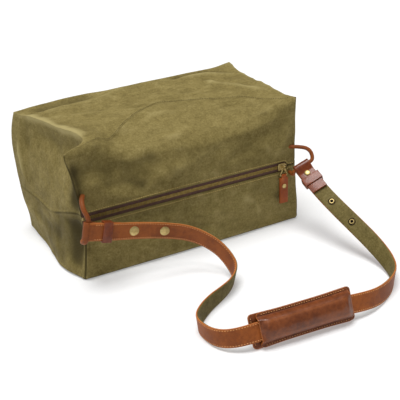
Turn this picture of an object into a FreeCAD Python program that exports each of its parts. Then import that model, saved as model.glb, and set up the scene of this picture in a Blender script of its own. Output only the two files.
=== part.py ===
import FreeCAD, Part
import math
import os

from FreeCAD import Matrix, Placement, Vector

# Waxed-canvas satchel bag with a zipped front and one shoulder strap.
# Frame: origin at the middle of the base, +X along the zipper, -Y out of the
# zipped front, +Z up. Millimetres.

# The driving dimensions: (alias, value, what it is).
SIZES = [
    ("bag_length", 370, "outside, along the zipper"),
    ("bag_depth", 210, "outside, front to back"),
    ("bag_height", 200, "outside, base to top"),
    ("canvas", 1.6, "thickness of the canvas panels"),
    ("end_seam", 100, "height of the seam across each end"),
    ("lining_wall", 0.8, "thickness of the cotton lining"),
    ("lining_gap", 0.2, "between lining and canvas"),
    ("lining_front_gap", 0.9, "the same at the front, where the tapes lie"),
    ("lining_slot", 18, "width of the slot in the lining"),
    ("zip_line", 96, "height of the zipper's centre line"),
    ("zip_slot", 14, "width of the slot between the front panels"),
    ("tape_width", 13, "one zipper tape"),
    ("tape_thick", 0.6, "zipper tape"),
    ("chain_half", 2.8, "half the width of the closed chain"),
    ("chain_thick", 2.2, "chain, front to back"),
    ("tooth_pitch", 2.54, "tooth to tooth along one tape"),
    ("tooth_width", 1.15, "one tooth, along the zipper"),
    ("tooth_reach", 0.9, "tooth tip beyond the centre line"),
    ("chain_start", -172, "X of the first tooth"),
    ("slider_rest", 152, "X of the slider when the bag is shut"),
    ("slider_length", 12, "slider, along the zipper"),
    ("slider_height", 11, "slider, across the zipper"),
    ("slider_plate", 1.3, "thickness of each slider plate"),
    ("slider_clear", 0.25, "between a slider plate and the chain"),
    ("post_radius", 1.2, "slider's dividing post"),
    ("pull_out", 6.5, "pull's plane, out from the front panels"),
    ("pull_drop", 0.5, "ring's apex, up from the zipper's line"),
    ("ring_height", 12, "pull ring, apex to bar"),
    ("ring_half", 6.5, "half the length of the ring's bar"),
    ("ring_wire", 0.9, "radius of the ring's wire"),
    ("ring_bend", 1.6, "radius of the wire's bend at the apex"),
    ("lug_radius", 3.8, "slider's eye, outside"),
    ("lug_hole", 2.3, "slider's eye, inside"),
    ("lug_thick", 1.8, "slider's eye, along the zipper"),
    ("pull_length", 46, "leather pull below the ring's bar"),
    ("pull_width", 14, "leather pull"),
    ("pull_neck", 8, "width of the fold round the ring's bar"),
    ("pull_thick", 3.2, "two layers of leather"),
    ("pull_bore", 1.0, "radius of the fold's bore round the bar"),
    ("pull_eye", 2.2, "outer radius of the fold"),
    ("rivet_drop", 17.5, "rivet below the ring's bar"),
    ("rivet_cap", 3.5, "radius of the rivet's caps"),
    ("rivet_shank", 1.5, "radius of the rivet's shank"),
    ("rivet_cap_thick", 0.8, "thickness of each cap"),
    ("loop_radius", 3.25, "rolled leather of a strap loop"),
    ("fold_clear", 0.35, "between a loop and the strap folded round it"),
    ("strap_width", 25, "shoulder strap"),
    ("leather", 1.8, "strap's outer leather"),
    ("strap_lining", 1.2, "strap's canvas lining"),
    ("tail_length", 48.5, "strap turned back, past the loop"),
    ("tail_gap", 0.4, "between the turned-back tail and the strap"),
    ("tail_settle", 12.5, "where the tail comes down on the strap"),
    ("keeper_length", 14, "keeper, along the strap"),
    ("keeper_wall", 1.6, "keeper's leather"),
    ("keeper_clear", 0.7, "between keeper and strap"),
    ("keeper_place", 27, "middle of each keeper from the strap's end"),
    ("snap_radius", 7.5, "snap cap"),
    ("snap_rise", 1.8, "height of the snap cap's dome"),
    ("snap_lift", 0.5, "cap's rim over the twisted strap"),
    ("socket_radius", 6.5, "snap socket"),
    ("socket_hole", 2.6, "hole in the snap socket"),
    ("socket_thick", 1.6, "snap socket"),
    ("tail_snap", 14.5, "snap on the tail from the strap's end"),
    ("tail_snap_radius", 5, "the smaller cap on the tail"),
    ("tail_snap_lift", 1.4, "that cap's rim over the tail's face"),
    ("snap_left_one", 67, "snaps from the left end of the strap"),
    ("snap_left_two", 112, "second snap"),
    ("snap_right_one", 75, "snaps from the right end of the strap"),
    ("snap_right_two", 120, "second snap"),
    ("pad_length", 148, "shoulder pad's base layer"),
    ("crown_short", 10, "the crowned layer is this much shorter at the left end"),
    ("pad_width", 45, "shoulder pad"),
    ("pad_leather", 2, "pad's two layers of leather"),
    ("pad_clear", 2.0, "between the pad and the strap in it"),
    ("pad_slot_clear", 2.2, "the same at the strap's edges"),
]

# The strap's line: X, Y, Z of its middle, and how far its upper edge leans
# over, in degrees. It leaves the left loop, comes down to the floor, turns
# twice, runs through the pad and climbs to the right loop.
ROUTE = [
    (-178, -133, 90, -6), (-144, -133, 81, -6), (-107, -135, 74, -2),
    (-68, -142, 66, 3), (-32, -152, 56, 6), (-8, -177, 42, 2),
    (0, -201, 28, -8), (-1, -222, 15.5, -12), (-21, -242, 12.8, -12),
    (-44, -255, 12.6, -6), (-67, -266, 12.6, 2), (-90, -282, 12.8, 7),
    (-107, -300, 13, 6), (-108.5, -322, 13.2, 5), (-104.5, -344, 15, -3),
    (-92, -360, 18.5, -13), (-71, -369.2, 22.6, -22), (-32, -372.2, 23.4, -23),
    (18, -375.8, 23.5, -23), (66, -379.2, 23.2, -23), (102, -380.8, 19.5, -21),
    (131, -373, 14.5, -12), (158, -360, 13, -2), (179, -343, 13, 6),
    (190, -325, 13.5, 15), (197, -302, 17, 26), (197, -270, 29, 37),
    (190, -238, 45, 47), (184, -201, 60.5, 57), (178.5, -163, 78, 63),
    (177.5, -125, 95, 63),
]
ARC_STATIONS = 3          # sections along each arc of the strap
ARC_SHARE = 0.45          # an arc takes this share of its shorter run
PAD_SPAN = (17, 18)       # the pad's middle lies between these route points,
PAD_SHARE = 0.76          # at this share of the way

doc = FreeCAD.newDocument("SatchelBag")
sheet = doc.addObject("Spreadsheet::Sheet", "sizes")
for row, (alias, value, note) in enumerate(SIZES, start=1):
    sheet.set(f"A{row}", alias)
    sheet.set(f"B{row}", str(value))
    sheet.set(f"C{row}", note)
    sheet.setAlias(f"B{row}", alias)
doc.recompute()

parts = []                # the finished sub-parts, in the order they are made


def size(alias):
    """The value of one cell of the sheet."""
    return float(getattr(sheet, alias))


def keep(thing, name):
    """Name a finished sub-part, so that it is written to its own file."""
    thing.Label = name
    parts.append(thing)
    return thing


def bind(thing, **expressions):
    """Bind properties to the sheet; a double underscore stands for a dot."""
    for prop, text in expressions.items():
        thing.setExpression(prop.replace("__", "."), text)


def box(name, length, width, height, x, y, z):
    """A box whose sizes and lowest corner are expressions on the sheet."""
    thing = doc.addObject("Part::Box", name)
    bind(thing, Length=length, Width=width, Height=height,
         Placement__Base__x=x, Placement__Base__y=y, Placement__Base__z=z)
    return thing


def cylinder(name, radius, height, x, y, z, axis):
    """A cylinder from x, y, z along X or Y, bound to the sheet."""
    thing = doc.addObject("Part::Cylinder", name)
    turn = {"X": FreeCAD.Rotation(Vector(0, 1, 0), 90),
            "Y": FreeCAD.Rotation(Vector(1, 0, 0), -90)}[axis]
    thing.Placement = Placement(Vector(), turn)
    bind(thing, Radius=radius, Height=height,
         Placement__Base__x=x, Placement__Base__y=y, Placement__Base__z=z)
    return thing


def cut(name, base, tool):
    """One object less another."""
    thing = doc.addObject("Part::Cut", name)
    thing.Base = base
    thing.Tool = tool
    return thing


def fuse(name, shapes):
    """Several objects made one."""
    thing = doc.addObject("Part::MultiFuse", name)
    thing.Shapes = shapes
    thing.Refine = True
    return thing


def feature(name, shape, place=None):
    """A shape worked out from the sheet in code."""
    thing = doc.addObject("Part::Feature", name)
    thing.Shape = shape
    if place is not None:
        thing.Placement = place
    return keep(thing, name)


# ---------------------------------------------------------------- the canvas

def canvas_panels():
    """Two front panels, top, base, back, and two half panels on each end."""
    inner = "sizes.bag_length - 2 * sizes.canvas"
    left = "-sizes.bag_length / 2"
    front = "-sizes.bag_depth / 2"
    slot_low = "sizes.zip_line - sizes.zip_slot / 2"
    slot_high = "sizes.zip_line + sizes.zip_slot / 2"
    side_depth = "sizes.bag_depth"
    keep(box("front_lower_panel", inner, "sizes.canvas", f"{slot_low} - sizes.canvas",
             f"{left} + sizes.canvas", front, "sizes.canvas"), "front_lower_panel")
    keep(box("front_upper_panel", inner, "sizes.canvas",
             f"sizes.bag_height - sizes.canvas - ({slot_high})",
             f"{left} + sizes.canvas", front, slot_high), "front_upper_panel")
    keep(box("back_panel", inner, "sizes.canvas", "sizes.bag_height - 2 * sizes.canvas",
             f"{left} + sizes.canvas", "sizes.bag_depth / 2 - sizes.canvas",
             "sizes.canvas"), "back_panel")
    keep(box("base_panel", "sizes.bag_length", side_depth, "sizes.canvas",
             left, front, "0"), "base_panel")
    keep(box("top_panel", "sizes.bag_length", side_depth, "sizes.canvas",
             left, front, "sizes.bag_height - sizes.canvas"), "top_panel")
    ends = {"left": left, "right": "sizes.bag_length / 2 - sizes.canvas"}
    for side, x in ends.items():
        keep(box(f"{side}_end_lower_panel", "sizes.canvas", side_depth,
                 "sizes.end_seam - sizes.canvas", x, front, "sizes.canvas"),
             f"{side}_end_lower_panel")
        keep(box(f"{side}_end_upper_panel", "sizes.canvas", side_depth,
                 "sizes.bag_height - sizes.canvas - sizes.end_seam", x, front,
                 "sizes.end_seam"), f"{side}_end_upper_panel")


def lining():
    """A thin cotton box inside the canvas, with a slot behind the zipper."""
    edge = "(sizes.canvas + sizes.lining_gap)"
    front = "(sizes.canvas + sizes.lining_front_gap)"
    wall = "sizes.lining_wall"
    outer = box("lining_outer", f"sizes.bag_length - 2 * {edge}",
                f"sizes.bag_depth - {edge} - {front}", f"sizes.bag_height - 2 * {edge}",
                f"-sizes.bag_length / 2 + {edge}", f"-sizes.bag_depth / 2 + {front}", edge)
    inner = box("lining_inner", f"sizes.bag_length - 2 * {edge} - 2 * {wall}",
                f"sizes.bag_depth - {edge} - {front} - 2 * {wall}",
                f"sizes.bag_height - 2 * {edge} - 2 * {wall}",
                f"-sizes.bag_length / 2 + {edge} + {wall}",
                f"-sizes.bag_depth / 2 + {front} + {wall}", f"{edge} + {wall}")
    slot = box("lining_opening", f"sizes.bag_length - 2 * {edge} - 2 * {wall}",
               f"4 * {wall}", "sizes.lining_slot",
               f"-sizes.bag_length / 2 + {edge} + {wall}",
               f"-sizes.bag_depth / 2 + {front} - {wall}",
               "sizes.zip_line - sizes.lining_slot / 2")
    keep(cut("lining", cut("lining_shell", outer, inner), slot), "lining")


# ---------------------------------------------------------------- the zipper

def chain_middle():
    """Y of the middle of the zipper's chain and tapes."""
    return "(-sizes.bag_depth / 2 + sizes.canvas + 0.4)"


def zipper_tapes():
    """The two woven tapes, behind the edges of the front panels."""
    run = "sizes.bag_length - 4 * sizes.canvas"
    start = "-sizes.bag_length / 2 + 2 * sizes.canvas"
    back = f"{chain_middle()} - sizes.tape_thick / 2"
    keep(box("zipper_tape_upper", run, "sizes.tape_thick", "sizes.tape_width", start, back,
             "sizes.zip_line + sizes.chain_half"), "zipper_tape_upper")
    keep(box("zipper_tape_lower", run, "sizes.tape_thick", "sizes.tape_width", start, back,
             "sizes.zip_line - sizes.chain_half - sizes.tape_width"), "zipper_tape_lower")


def teeth_row(name, side, shift):
    """One row of teeth on its beaded edge: side is 1 for the upper row."""
    pitch, tooth = size("tooth_pitch"), size("tooth_width")
    reach, half = size("tooth_reach"), size("chain_half")
    root = reach + 0.1
    start = size("chain_start")
    end = size("slider_rest") - size("slider_length") / 2 + 1
    middle = -size("bag_depth") / 2 + size("canvas") + 0.4
    outline = [(start, half), (start, root)]
    count = int((end - start) / pitch)
    for number in range(count):
        x = start + shift + number * pitch
        outline += [(x, root), (x, -reach), (x + tooth, -reach), (x + tooth, root)]
    stop = start + count * pitch + pitch / 2
    outline += [(stop, root), (stop, half)]
    y = middle - size("chain_thick") / 2
    points = [Vector(x, y, size("zip_line") + side * z) for x, z in outline]
    face = Part.Face(Part.makePolygon(points + points[:1]))
    feature(name, face.extrude(Vector(0, size("chain_thick"), 0)))


def zipper_stops():
    """Two metal clips past the closed end and one across the open end."""
    thick = "sizes.chain_thick"
    y = f"{chain_middle()} - {thick} / 2"
    right = "sizes.slider_rest + sizes.slider_length / 2 + 1"
    clips = [box("top_stop_upper", "3", thick, "2", right, y, "sizes.zip_line + 0.6"),
             box("top_stop_lower", "3", thick, "2", right, y, "sizes.zip_line - 2.6")]
    both = doc.addObject("Part::Compound", "top_stops")
    both.Links = clips
    keep(both, "zipper_top_stops")
    keep(box("bottom_stop", "2.4", thick, "5", "sizes.chain_start - 2.6", y,
             "sizes.zip_line - 2.5"), "zipper_bottom_stop")


def slider():
    """Front and back plates joined by the dividing post, and the pull's eye."""
    middle = chain_middle()
    near = f"({middle} - sizes.chain_thick / 2 - sizes.slider_clear)"
    far = f"({middle} + sizes.chain_thick / 2 + sizes.slider_clear)"
    x = "sizes.slider_rest - sizes.slider_length / 2"
    z = "sizes.zip_line - sizes.slider_height / 2"
    plane = "(-sizes.bag_depth / 2 - sizes.pull_out)"
    apex = "(sizes.zip_line + sizes.pull_drop)"
    lug_x = "sizes.slider_rest - sizes.lug_thick / 2"
    plates = [
        box("slider_front", "sizes.slider_length", "sizes.slider_plate",
            "sizes.slider_height", x, f"{near} - sizes.slider_plate", z),
        box("slider_back", "sizes.slider_length", "sizes.slider_plate",
            "sizes.slider_height", x, far, z),
        cylinder("slider_post", "sizes.post_radius", f"{far} - {near} + 1",
                 "sizes.slider_rest + sizes.slider_length / 2 - 2 * sizes.post_radius",
                 f"{near} - 0.5", "sizes.zip_line", "Y"),
        box("slider_lug_foot", "sizes.lug_thick", f"{near} - ({plane}) - 0.5", "4",
            lug_x, f"{plane} + 0.3", f"{apex} - 2"),
        cylinder("slider_lug", "sizes.lug_radius", "sizes.lug_thick",
                 lug_x, plane, apex, "X"),
    ]
    hole = cylinder("slider_eye", "sizes.lug_hole", "sizes.lug_thick + 2",
                    f"{lug_x} - 1", plane, apex, "X")
    keep(cut("slider", fuse("slider_blank", plates), hole), "slider")


def ring_middle():
    """The point of the pull ring's wire that sits in the slider's eye."""
    return Vector(size("slider_rest"), -size("bag_depth") / 2 - size("pull_out"),
                  size("zip_line") + size("pull_drop"))


def pull_ring():
    """A triangle of wire: apex in the slider's eye, bar in the leather pull."""
    middle = ring_middle()
    half, height, bend = size("ring_half"), size("ring_height"), size("ring_bend")
    corners = [middle + Vector(0, 0, bend), middle + Vector(half, 0, -height),
               middle + Vector(-half, 0, -height)]
    turn = math.pi - 2 * math.atan2(half, height + bend)
    rise = bend / math.cos(turn / 2) - bend
    corners[0] = middle + Vector(0, 0, rise)
    path = rounded_loop(corners, [bend, 1.2, 1.2])
    start = path.Edges[0].Vertexes[0].Point
    along = path.Edges[0].tangentAt(path.Edges[0].FirstParameter)
    wire = Part.Wire(Part.makeCircle(size("ring_wire"), start, along))
    feature("pull_ring", path.makePipeShell([wire], True, False))


def pull_tab():
    """The leather pull: a strip folded round the ring's bar, with a rivet hole."""
    plane = "(-sizes.bag_depth / 2 - sizes.pull_out)"
    bar = "(sizes.zip_line + sizes.pull_drop - sizes.ring_height)"
    neck_x = "sizes.slider_rest - sizes.pull_neck / 2"
    strip = box("pull_strip", "sizes.pull_width", "sizes.pull_thick",
                "sizes.pull_length - 4", "sizes.slider_rest - sizes.pull_width / 2",
                f"{plane} - sizes.pull_thick / 2", f"{bar} - sizes.pull_length")
    neck = box("pull_neck", "sizes.pull_neck", "sizes.pull_thick", "5", neck_x,
               f"{plane} - sizes.pull_thick / 2", f"{bar} - 5")
    eye = cylinder("pull_fold", "sizes.pull_eye", "sizes.pull_neck", neck_x, plane, bar, "X")
    bore = cylinder("pull_bore", "sizes.pull_bore", "sizes.pull_neck + 2",
                    f"{neck_x} - 1", plane, bar, "X")
    hole = cylinder("pull_rivet_hole", "sizes.rivet_shank", "sizes.pull_thick + 2",
                    "sizes.slider_rest", f"{plane} - sizes.pull_thick / 2 - 1",
                    f"{bar} - sizes.rivet_drop", "Y")
    blank = fuse("pull_blank", [strip, neck, eye])
    keep(cut("pull_tab", cut("pull_with_bore", blank, bore), hole), "pull_tab")
    shank_y = f"{plane} - sizes.pull_thick / 2"
    rivet_z = f"{bar} - sizes.rivet_drop"
    rivet = [cylinder("rivet_pin", "sizes.rivet_shank", "sizes.pull_thick",
                      "sizes.slider_rest", shank_y, rivet_z, "Y"),
             cylinder("rivet_front", "sizes.rivet_cap", "sizes.rivet_cap_thick",
                      "sizes.slider_rest", f"{shank_y} - sizes.rivet_cap_thick",
                      rivet_z, "Y"),
             cylinder("rivet_back", "sizes.rivet_cap", "sizes.rivet_cap_thick",
                      "sizes.slider_rest", f"{shank_y} + sizes.pull_thick", rivet_z, "Y")]
    keep(fuse("pull_rivet", rivet), "pull_rivet")


# ------------------------------------------------------------- paths and strap

def corner_arc(before, corner, after, radius):
    """The tangent arc at a corner: its start, middle and end."""
    back = (before - corner).normalize()
    ahead = (after - corner).normalize()
    half_turn = (math.pi - back.getAngle(ahead)) / 2
    reach = radius * math.tan(half_turn)
    inward = (back + ahead).normalize()
    middle = corner + inward * (radius / math.cos(half_turn) - radius)
    return corner + back * reach, middle, corner + ahead * reach


def rounded_path(points, radii):
    """An open wire of straight runs joined by tangent arcs."""
    edges, last = [], points[0]
    for number in range(1, len(points) - 1):
        start, middle, end = corner_arc(*points[number - 1:number + 2], radii[number - 1])
        edges += [Part.LineSegment(last, start).toShape(),
                  Part.Arc(start, middle, end).toShape()]
        last = end
    edges.append(Part.LineSegment(last, points[-1]).toShape())
    return Part.Wire(edges)


def rounded_loop(points, radii):
    """A closed wire of straight runs joined by tangent arcs."""
    count = len(points)
    arcs = [corner_arc(points[number - 1], points[number], points[(number + 1) % count],
                       radii[number]) for number in range(count)]
    edges = []
    for number, (start, middle, end) in enumerate(arcs):
        edges += [Part.Arc(start, middle, end).toShape(),
                  Part.LineSegment(end, arcs[(number + 1) % count][0]).toShape()]
    return Part.Wire(edges)


def strap_frame(along, lean):
    """Along, inward (to the lining's side) and across the strap, as unit vectors."""
    along = Vector(along).normalize()
    side = along.cross(Vector(0, 0, 1)).normalize()
    upward = side.cross(along)
    angle = math.radians(lean)
    across = upward * math.cos(angle) + side * math.sin(angle)
    return along, across.cross(along), across


def strap_stations():
    """Points, directions and leans along the strap's runs and tangent arcs."""
    points = [Vector(*row[:3]) for row in ROUTE]
    leans = [row[3] for row in ROUTE]
    ends = strap_frame(points[1] - points[0], leans[0])[0]
    stations = [(points[0], ends, leans[0])]
    length, radii, last = 0.0, [], points[0]
    for number in range(1, len(points) - 1):
        before, corner, after = points[number - 1:number + 2]
        back, ahead = before - corner, after - corner
        turn = math.pi - back.getAngle(ahead)
        reach = ARC_SHARE * min(back.Length, ahead.Length)
        radius = reach / math.tan(turn / 2)
        radii.append(radius)
        start, middle, end = corner_arc(before, corner, after, radius)
        arc = Part.Arc(start, middle, end).toShape()
        length += (start - last).Length + arc.Length
        share_in = reach / back.Length
        share_out = reach / ahead.Length
        lean_in = leans[number] + (leans[number - 1] - leans[number]) * share_in
        lean_out = leans[number] + (leans[number + 1] - leans[number]) * share_out
        for step in range(ARC_STATIONS):
            share = step / (ARC_STATIONS - 1)
            place = arc.FirstParameter + (arc.LastParameter - arc.FirstParameter) * share
            stations.append((arc.valueAt(place), arc.tangentAt(place),
                             lean_in + (lean_out - lean_in) * share))
        last = end
    ends = strap_frame(points[-1] - points[-2], leans[-1])[0]
    stations.append((points[-1], ends, leans[-1]))
    length += (points[-1] - last).Length
    return stations, length, radii


def strap_layer(name, stations, inner, outer):
    """A ribbon from inner to outer, measured towards the lining's side."""
    half = size("strap_width") / 2
    sections = []
    for point, along, lean in stations:
        _, inward, across = strap_frame(along, lean)
        corners = [point + inward * depth + across * edge
                   for depth, edge in ((inner, -half), (inner, half), (outer, half),
                                       (outer, -half))]
        sections.append(Part.makePolygon(corners + corners[:1]))
    return feature(name, Part.makeLoft(sections, True, True))


def along_strap(stations, distance, from_left):
    """The placement at a distance from one end: X along, Y inward, Z across."""
    line = stations if from_left else stations[::-1]
    for (here, dir_here, lean_here), (there, dir_there, lean_there) in zip(line, line[1:]):
        run = (there - here).Length
        if distance <= run:
            share = distance / run
            point = here + (there - here) * share
            along = Vector(dir_here) * (1 - share) + Vector(dir_there) * share
            lean = lean_here + (lean_there - lean_here) * share
            return strap_placement(point, along, lean)
        distance -= run
    raise ValueError("the strap is shorter than that")


def strap_placement(point, along, lean):
    """A placement from a point of the strap and its directions."""
    forward, inward, across = strap_frame(along, lean)
    matrix = Matrix(forward.x, inward.x, across.x, point.x,
                    forward.y, inward.y, across.y, point.y,
                    forward.z, inward.z, across.z, point.z)
    return Placement(matrix)


def fold_profile(side):
    """The turned-back end in the strap's own X and Y; side is 1 at the left end."""
    thick = size("leather") + size("strap_lining")
    bend = size("loop_radius") + size("fold_clear") + thick / 2
    rest = thick + size("tail_gap")
    settle, tail = size("tail_settle"), size("tail_length")
    line = [(0.0, 0.0)]
    steps = 12
    for step in range(1, steps + 1):
        turn = math.pi * step / steps
        line.append((-bend * math.sin(turn), bend - bend * math.cos(turn)))
    slope_steps = 8
    for step in range(1, slope_steps + 1):
        share = step / slope_steps
        fall = (1 - math.cos(math.pi * share)) / 2
        line.append((settle * share, 2 * bend + (rest - 2 * bend) * fall))
    line.append((tail, rest))
    left_edge, right_edge = [], []
    for number, (x, y) in enumerate(line):
        x0, y0 = line[max(number - 1, 0)]
        x1, y1 = line[min(number + 1, len(line) - 1)]
        if number == 0:
            x0, y0, x1, y1 = 0.0, 0.0, -1.0, 0.0
        span = math.hypot(x1 - x0, y1 - y0)
        normal = (-(y1 - y0) / span * thick / 2, (x1 - x0) / span * thick / 2)
        left_edge.append((x + normal[0], y + normal[1]))
        right_edge.append((x - normal[0], y - normal[1]))
    return [(side * x, y) for x, y in left_edge + right_edge[::-1]]


def strap_fold(name, place, side):
    """The strap's end, turned round its loop and laid back on the lining."""
    half = size("strap_width") / 2
    points = [Vector(x, y, -half) for x, y in fold_profile(side)]
    face = Part.Face(Part.makePolygon(points + points[:1]))
    feature(name, face.extrude(Vector(0, 0, 2 * half)), place)


def keeper(name, place):
    """A leather ring round the strap and its tail, sewn from one thong."""
    thick = size("leather") + size("strap_lining")
    clear, wall = size("keeper_clear"), size("keeper_wall")
    body = doc.addObject("PartDesign::Body", name)
    plane = [part for part in body.Origin.OriginFeatures if part.Role == "YZ_Plane"][0]
    sketch = body.newObject("Sketcher::SketchObject", f"{name}_sketch")
    sketch.AttachmentSupport = [(plane, "")]
    sketch.MapMode = "FlatFace"
    low, high = -thick / 2 - clear, 3 * thick / 2 + size("tail_gap") + clear
    side = size("strap_width") / 2 + clear
    for grow in (0, wall):
        corners = [(low - grow, -side - grow), (high + grow, -side - grow),
                   (high + grow, side + grow), (low - grow, side + grow)]
        for number, (x, y) in enumerate(corners):
            nx, ny = corners[(number + 1) % 4]
            sketch.addGeometry(Part.LineSegment(Vector(x, y, 0), Vector(nx, ny, 0)), False)
    pad = body.newObject("PartDesign::Pad", f"{name}_pad")
    pad.Profile = sketch
    pad.Midplane = True
    pad.setExpression("Length", "sizes.keeper_length")
    body.Placement = place
    keep(body, name)


def snap_cap(place, rim, height, side):
    """A domed brass cap on the strap: side is -1 on the leather's face."""
    rise = size("snap_rise")
    sphere = (rim ** 2 + rise ** 2) / (2 * rise)
    profile = [Vector(0, 0, 0), Vector(rim, 0, 0)]
    edge = Part.LineSegment(*profile).toShape()
    dome = Part.Arc(Vector(rim, 0, 0),
                    Vector(rim * 0.6, math.sqrt(sphere ** 2 - (rim * 0.6) ** 2)
                           - sphere + rise, 0),
                    Vector(0, rise, 0)).toShape()
    axis = Part.LineSegment(Vector(0, rise, 0), Vector(0, 0, 0)).toShape()
    solid = Part.Face(Part.Wire([edge, dome, axis])).revolve(Vector(), Vector(0, 1, 0), 360)
    if side < 0:
        solid.rotate(Vector(), Vector(1, 0, 0), 180)
    solid.translate(Vector(0, height, 0))
    solid.Placement = place.multiply(solid.Placement)
    return solid


def snap_socket(place, height):
    """A socket ring on the lining's face."""
    outer = Part.makeCylinder(size("socket_radius"), size("socket_thick"),
                              Vector(0, height, 0), Vector(0, 1, 0))
    hole = Part.makeCylinder(size("socket_hole"), size("socket_thick") + 2,
                             Vector(0, height - 1, 0), Vector(0, 1, 0))
    solid = outer.cut(hole)
    solid.Placement = place.multiply(solid.Placement)
    return solid


def strap():
    """The strap's two layers, its ends, keepers and snaps."""
    stations, length, radii = strap_stations()
    thick = size("leather") + size("strap_lining")
    seam = -thick / 2 + size("leather")
    leather = strap_layer("strap_leather", stations, -thick / 2, seam)
    strap_layer("strap_lining", stations, seam, thick / 2)
    print("strap radii:", ", ".join(f"{radius:.0f}" for radius in radii))
    section = size("strap_width") * size("leather")
    print(f"strap length {length:.1f}, volume {leather.Shape.Volume:.0f} against"
          f" section times length {section * length:.0f}")
    lift = thick / 2 + size("snap_lift")
    tail_face = 3 * thick / 2 + size("tail_gap")
    for side, left in (("left", True), ("right", False)):
        end = along_strap(stations, 0, left)
        strap_fold(f"strap_fold_{side}", end, 1 if left else -1)
        keeper(f"keeper_{side}", along_strap(stations, size("keeper_place"), left))
        caps, sockets = [], []
        for number in ("one", "two"):
            place = along_strap(stations, size(f"snap_{side}_{number}"), left)
            caps.append(snap_cap(place, size("snap_radius"), -lift, -1))
            sockets.append(snap_socket(place, lift))
        tail = along_strap(stations, size("tail_snap"), left)
        caps.append(snap_cap(tail, size("tail_snap_radius"),
                             tail_face + size("tail_snap_lift"), 1))
        feature(f"snap_caps_{side}", Part.makeCompound(caps))
        feature(f"snap_sockets_{side}", Part.makeCompound(sockets))
    return stations


def strap_loops(stations):
    """Rolled-leather loops sewn into the front corners, through the strap's folds."""
    thick = size("leather") + size("strap_lining")
    bend = size("loop_radius") + size("fold_clear") + thick / 2
    front = -size("bag_depth") / 2
    roots = {"left": ((-178, 125), (-181, 67)), "right": ((170, 124), (168, 76))}
    arms = {"left": (17, -16), "right": (20.5, -19)}
    radii = {"left": (9, 8, 6, 6), "right": (9, 3.6, 3.8, 5)}
    for side, left in (("left", True), ("right", False)):
        place = along_strap(stations, 0, left)
        upper, lower = [place.multVec(Vector(0, bend, reach)) for reach in arms[side]]
        (high_x, high_z), (low_x, low_z) = roots[side]
        out = 10
        points = [Vector(high_x, front, high_z), Vector(high_x, front - out, high_z),
                  upper, lower, Vector(low_x, front - out, low_z),
                  Vector(low_x, front, low_z)]
        path = rounded_path(points, radii[side])
        section = Part.Wire(Part.makeCircle(size("loop_radius"), points[0], Vector(0, -1, 0)))
        feature(f"strap_loop_{side}", path.makePipeShell([section], True, False))
        middle = place.multVec(Vector(0, bend, 0))
        print(f"{side} loop: middle of the fold at {middle.x:.1f} {middle.y:.1f} {middle.z:.1f}")


def shoulder_pad():
    """A flat base layer and a crowned outer layer with a channel for the strap."""
    start, end = [ROUTE[number] for number in PAD_SPAN]
    middle = Vector(*start[:3]) * (1 - PAD_SHARE) + Vector(*end[:3]) * PAD_SHARE
    place = strap_placement(middle, Vector(*ROUTE[PAD_SPAN[1] + 1][:3])
                            - Vector(*ROUTE[PAD_SPAN[0] - 1][:3]), start[3])
    thick = size("leather") + size("strap_lining")
    wall, half = size("pad_leather"), size("pad_width") / 2
    near = thick / 2 + size("pad_clear")
    side = size("strap_width") / 2 + size("pad_slot_clear")
    base = doc.addObject("PartDesign::Body", "pad_base")
    plane = [part for part in base.Origin.OriginFeatures if part.Role == "XZ_Plane"][0]
    sketch = base.newObject("Sketcher::SketchObject", "pad_base_sketch")
    sketch.AttachmentSupport = [(plane, "")]
    sketch.MapMode = "FlatFace"
    reach = size("pad_length") / 2
    corners = [(-reach, -half), (reach, -half), (reach, half), (-reach, half)]
    for number, (x, y) in enumerate(corners):
        nx, ny = corners[(number + 1) % 4]
        sketch.addGeometry(Part.LineSegment(Vector(x, y, 0), Vector(nx, ny, 0)), False)
    pad = base.newObject("PartDesign::Pad", "pad_base_pad")
    pad.Profile = sketch
    pad.setExpression("Length", "sizes.pad_leather")
    base.Placement = place.multiply(Placement(Vector(0, near + wall, 0), FreeCAD.Rotation()))
    keep(base, "pad_base")
    crown = [(near, -half), (near, -side), (-near, -side), (-near, side), (near, side),
             (near, half), (near - wall, half), (-near - wall, side + wall),
             (-near - wall, -side - wall), (near - wall, -half)]
    short = size("crown_short")
    points = [Vector(short - reach, y, z) for y, z in crown]
    face = Part.Face(Part.makePolygon(points + points[:1]))
    feature("pad_crown", face.extrude(Vector(2 * reach - short, 0, 0)), place)
    forward = place.Rotation.multVec(Vector(1, 0, 0))
    print(f"pad slides along {forward.x:.4f} {forward.y:.4f} {forward.z:.4f}")


def check_and_write():
    """Stop on any failed object, then write one file for each sub-part."""
    doc.recompute()
    for thing in doc.Objects:
        if {"Invalid", "Error"} & set(thing.State):
            raise RuntimeError(f"{thing.Label} failed: {thing.State}")
    os.makedirs("parts", exist_ok=True)
    for part in parts:
        if part.Shape.isNull() or not part.Shape.isValid():
            raise RuntimeError(f"{part.Label} has no valid shape")
        part.Shape.exportStep(f"parts/{part.Label}.step")
        box_ = part.Shape.BoundBox
        print(f"{part.Label}: {part.Shape.Volume / 1000:.2f} cm3, "
              f"z {box_.ZMin:.1f} to {box_.ZMax:.1f}, solids {len(part.Shape.Solids)}")


canvas_panels()
lining()
zipper_tapes()
teeth_row("zipper_teeth_upper", 1, 0.0)
teeth_row("zipper_teeth_lower", -1, size("tooth_pitch") / 2)
zipper_stops()
slider()
pull_ring()
pull_tab()
line = strap()
strap_loops(line)
shoulder_pad()
for side, left in (("left", True), ("right", False)):
    forward = along_strap(line, size("keeper_place"), left).Rotation.multVec(Vector(1, 0, 0))
    print(f"{side} keeper slides along {forward.x:.4f} {forward.y:.4f} {forward.z:.4f}")
check_and_write()
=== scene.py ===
"""A waxed-canvas satchel bag with a zipped front, a leather strap and a shoulder pad."""
import logging
import math
from dataclasses import dataclass, field
from enum import Enum
from typing import Callable, Iterable, Sequence

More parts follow.
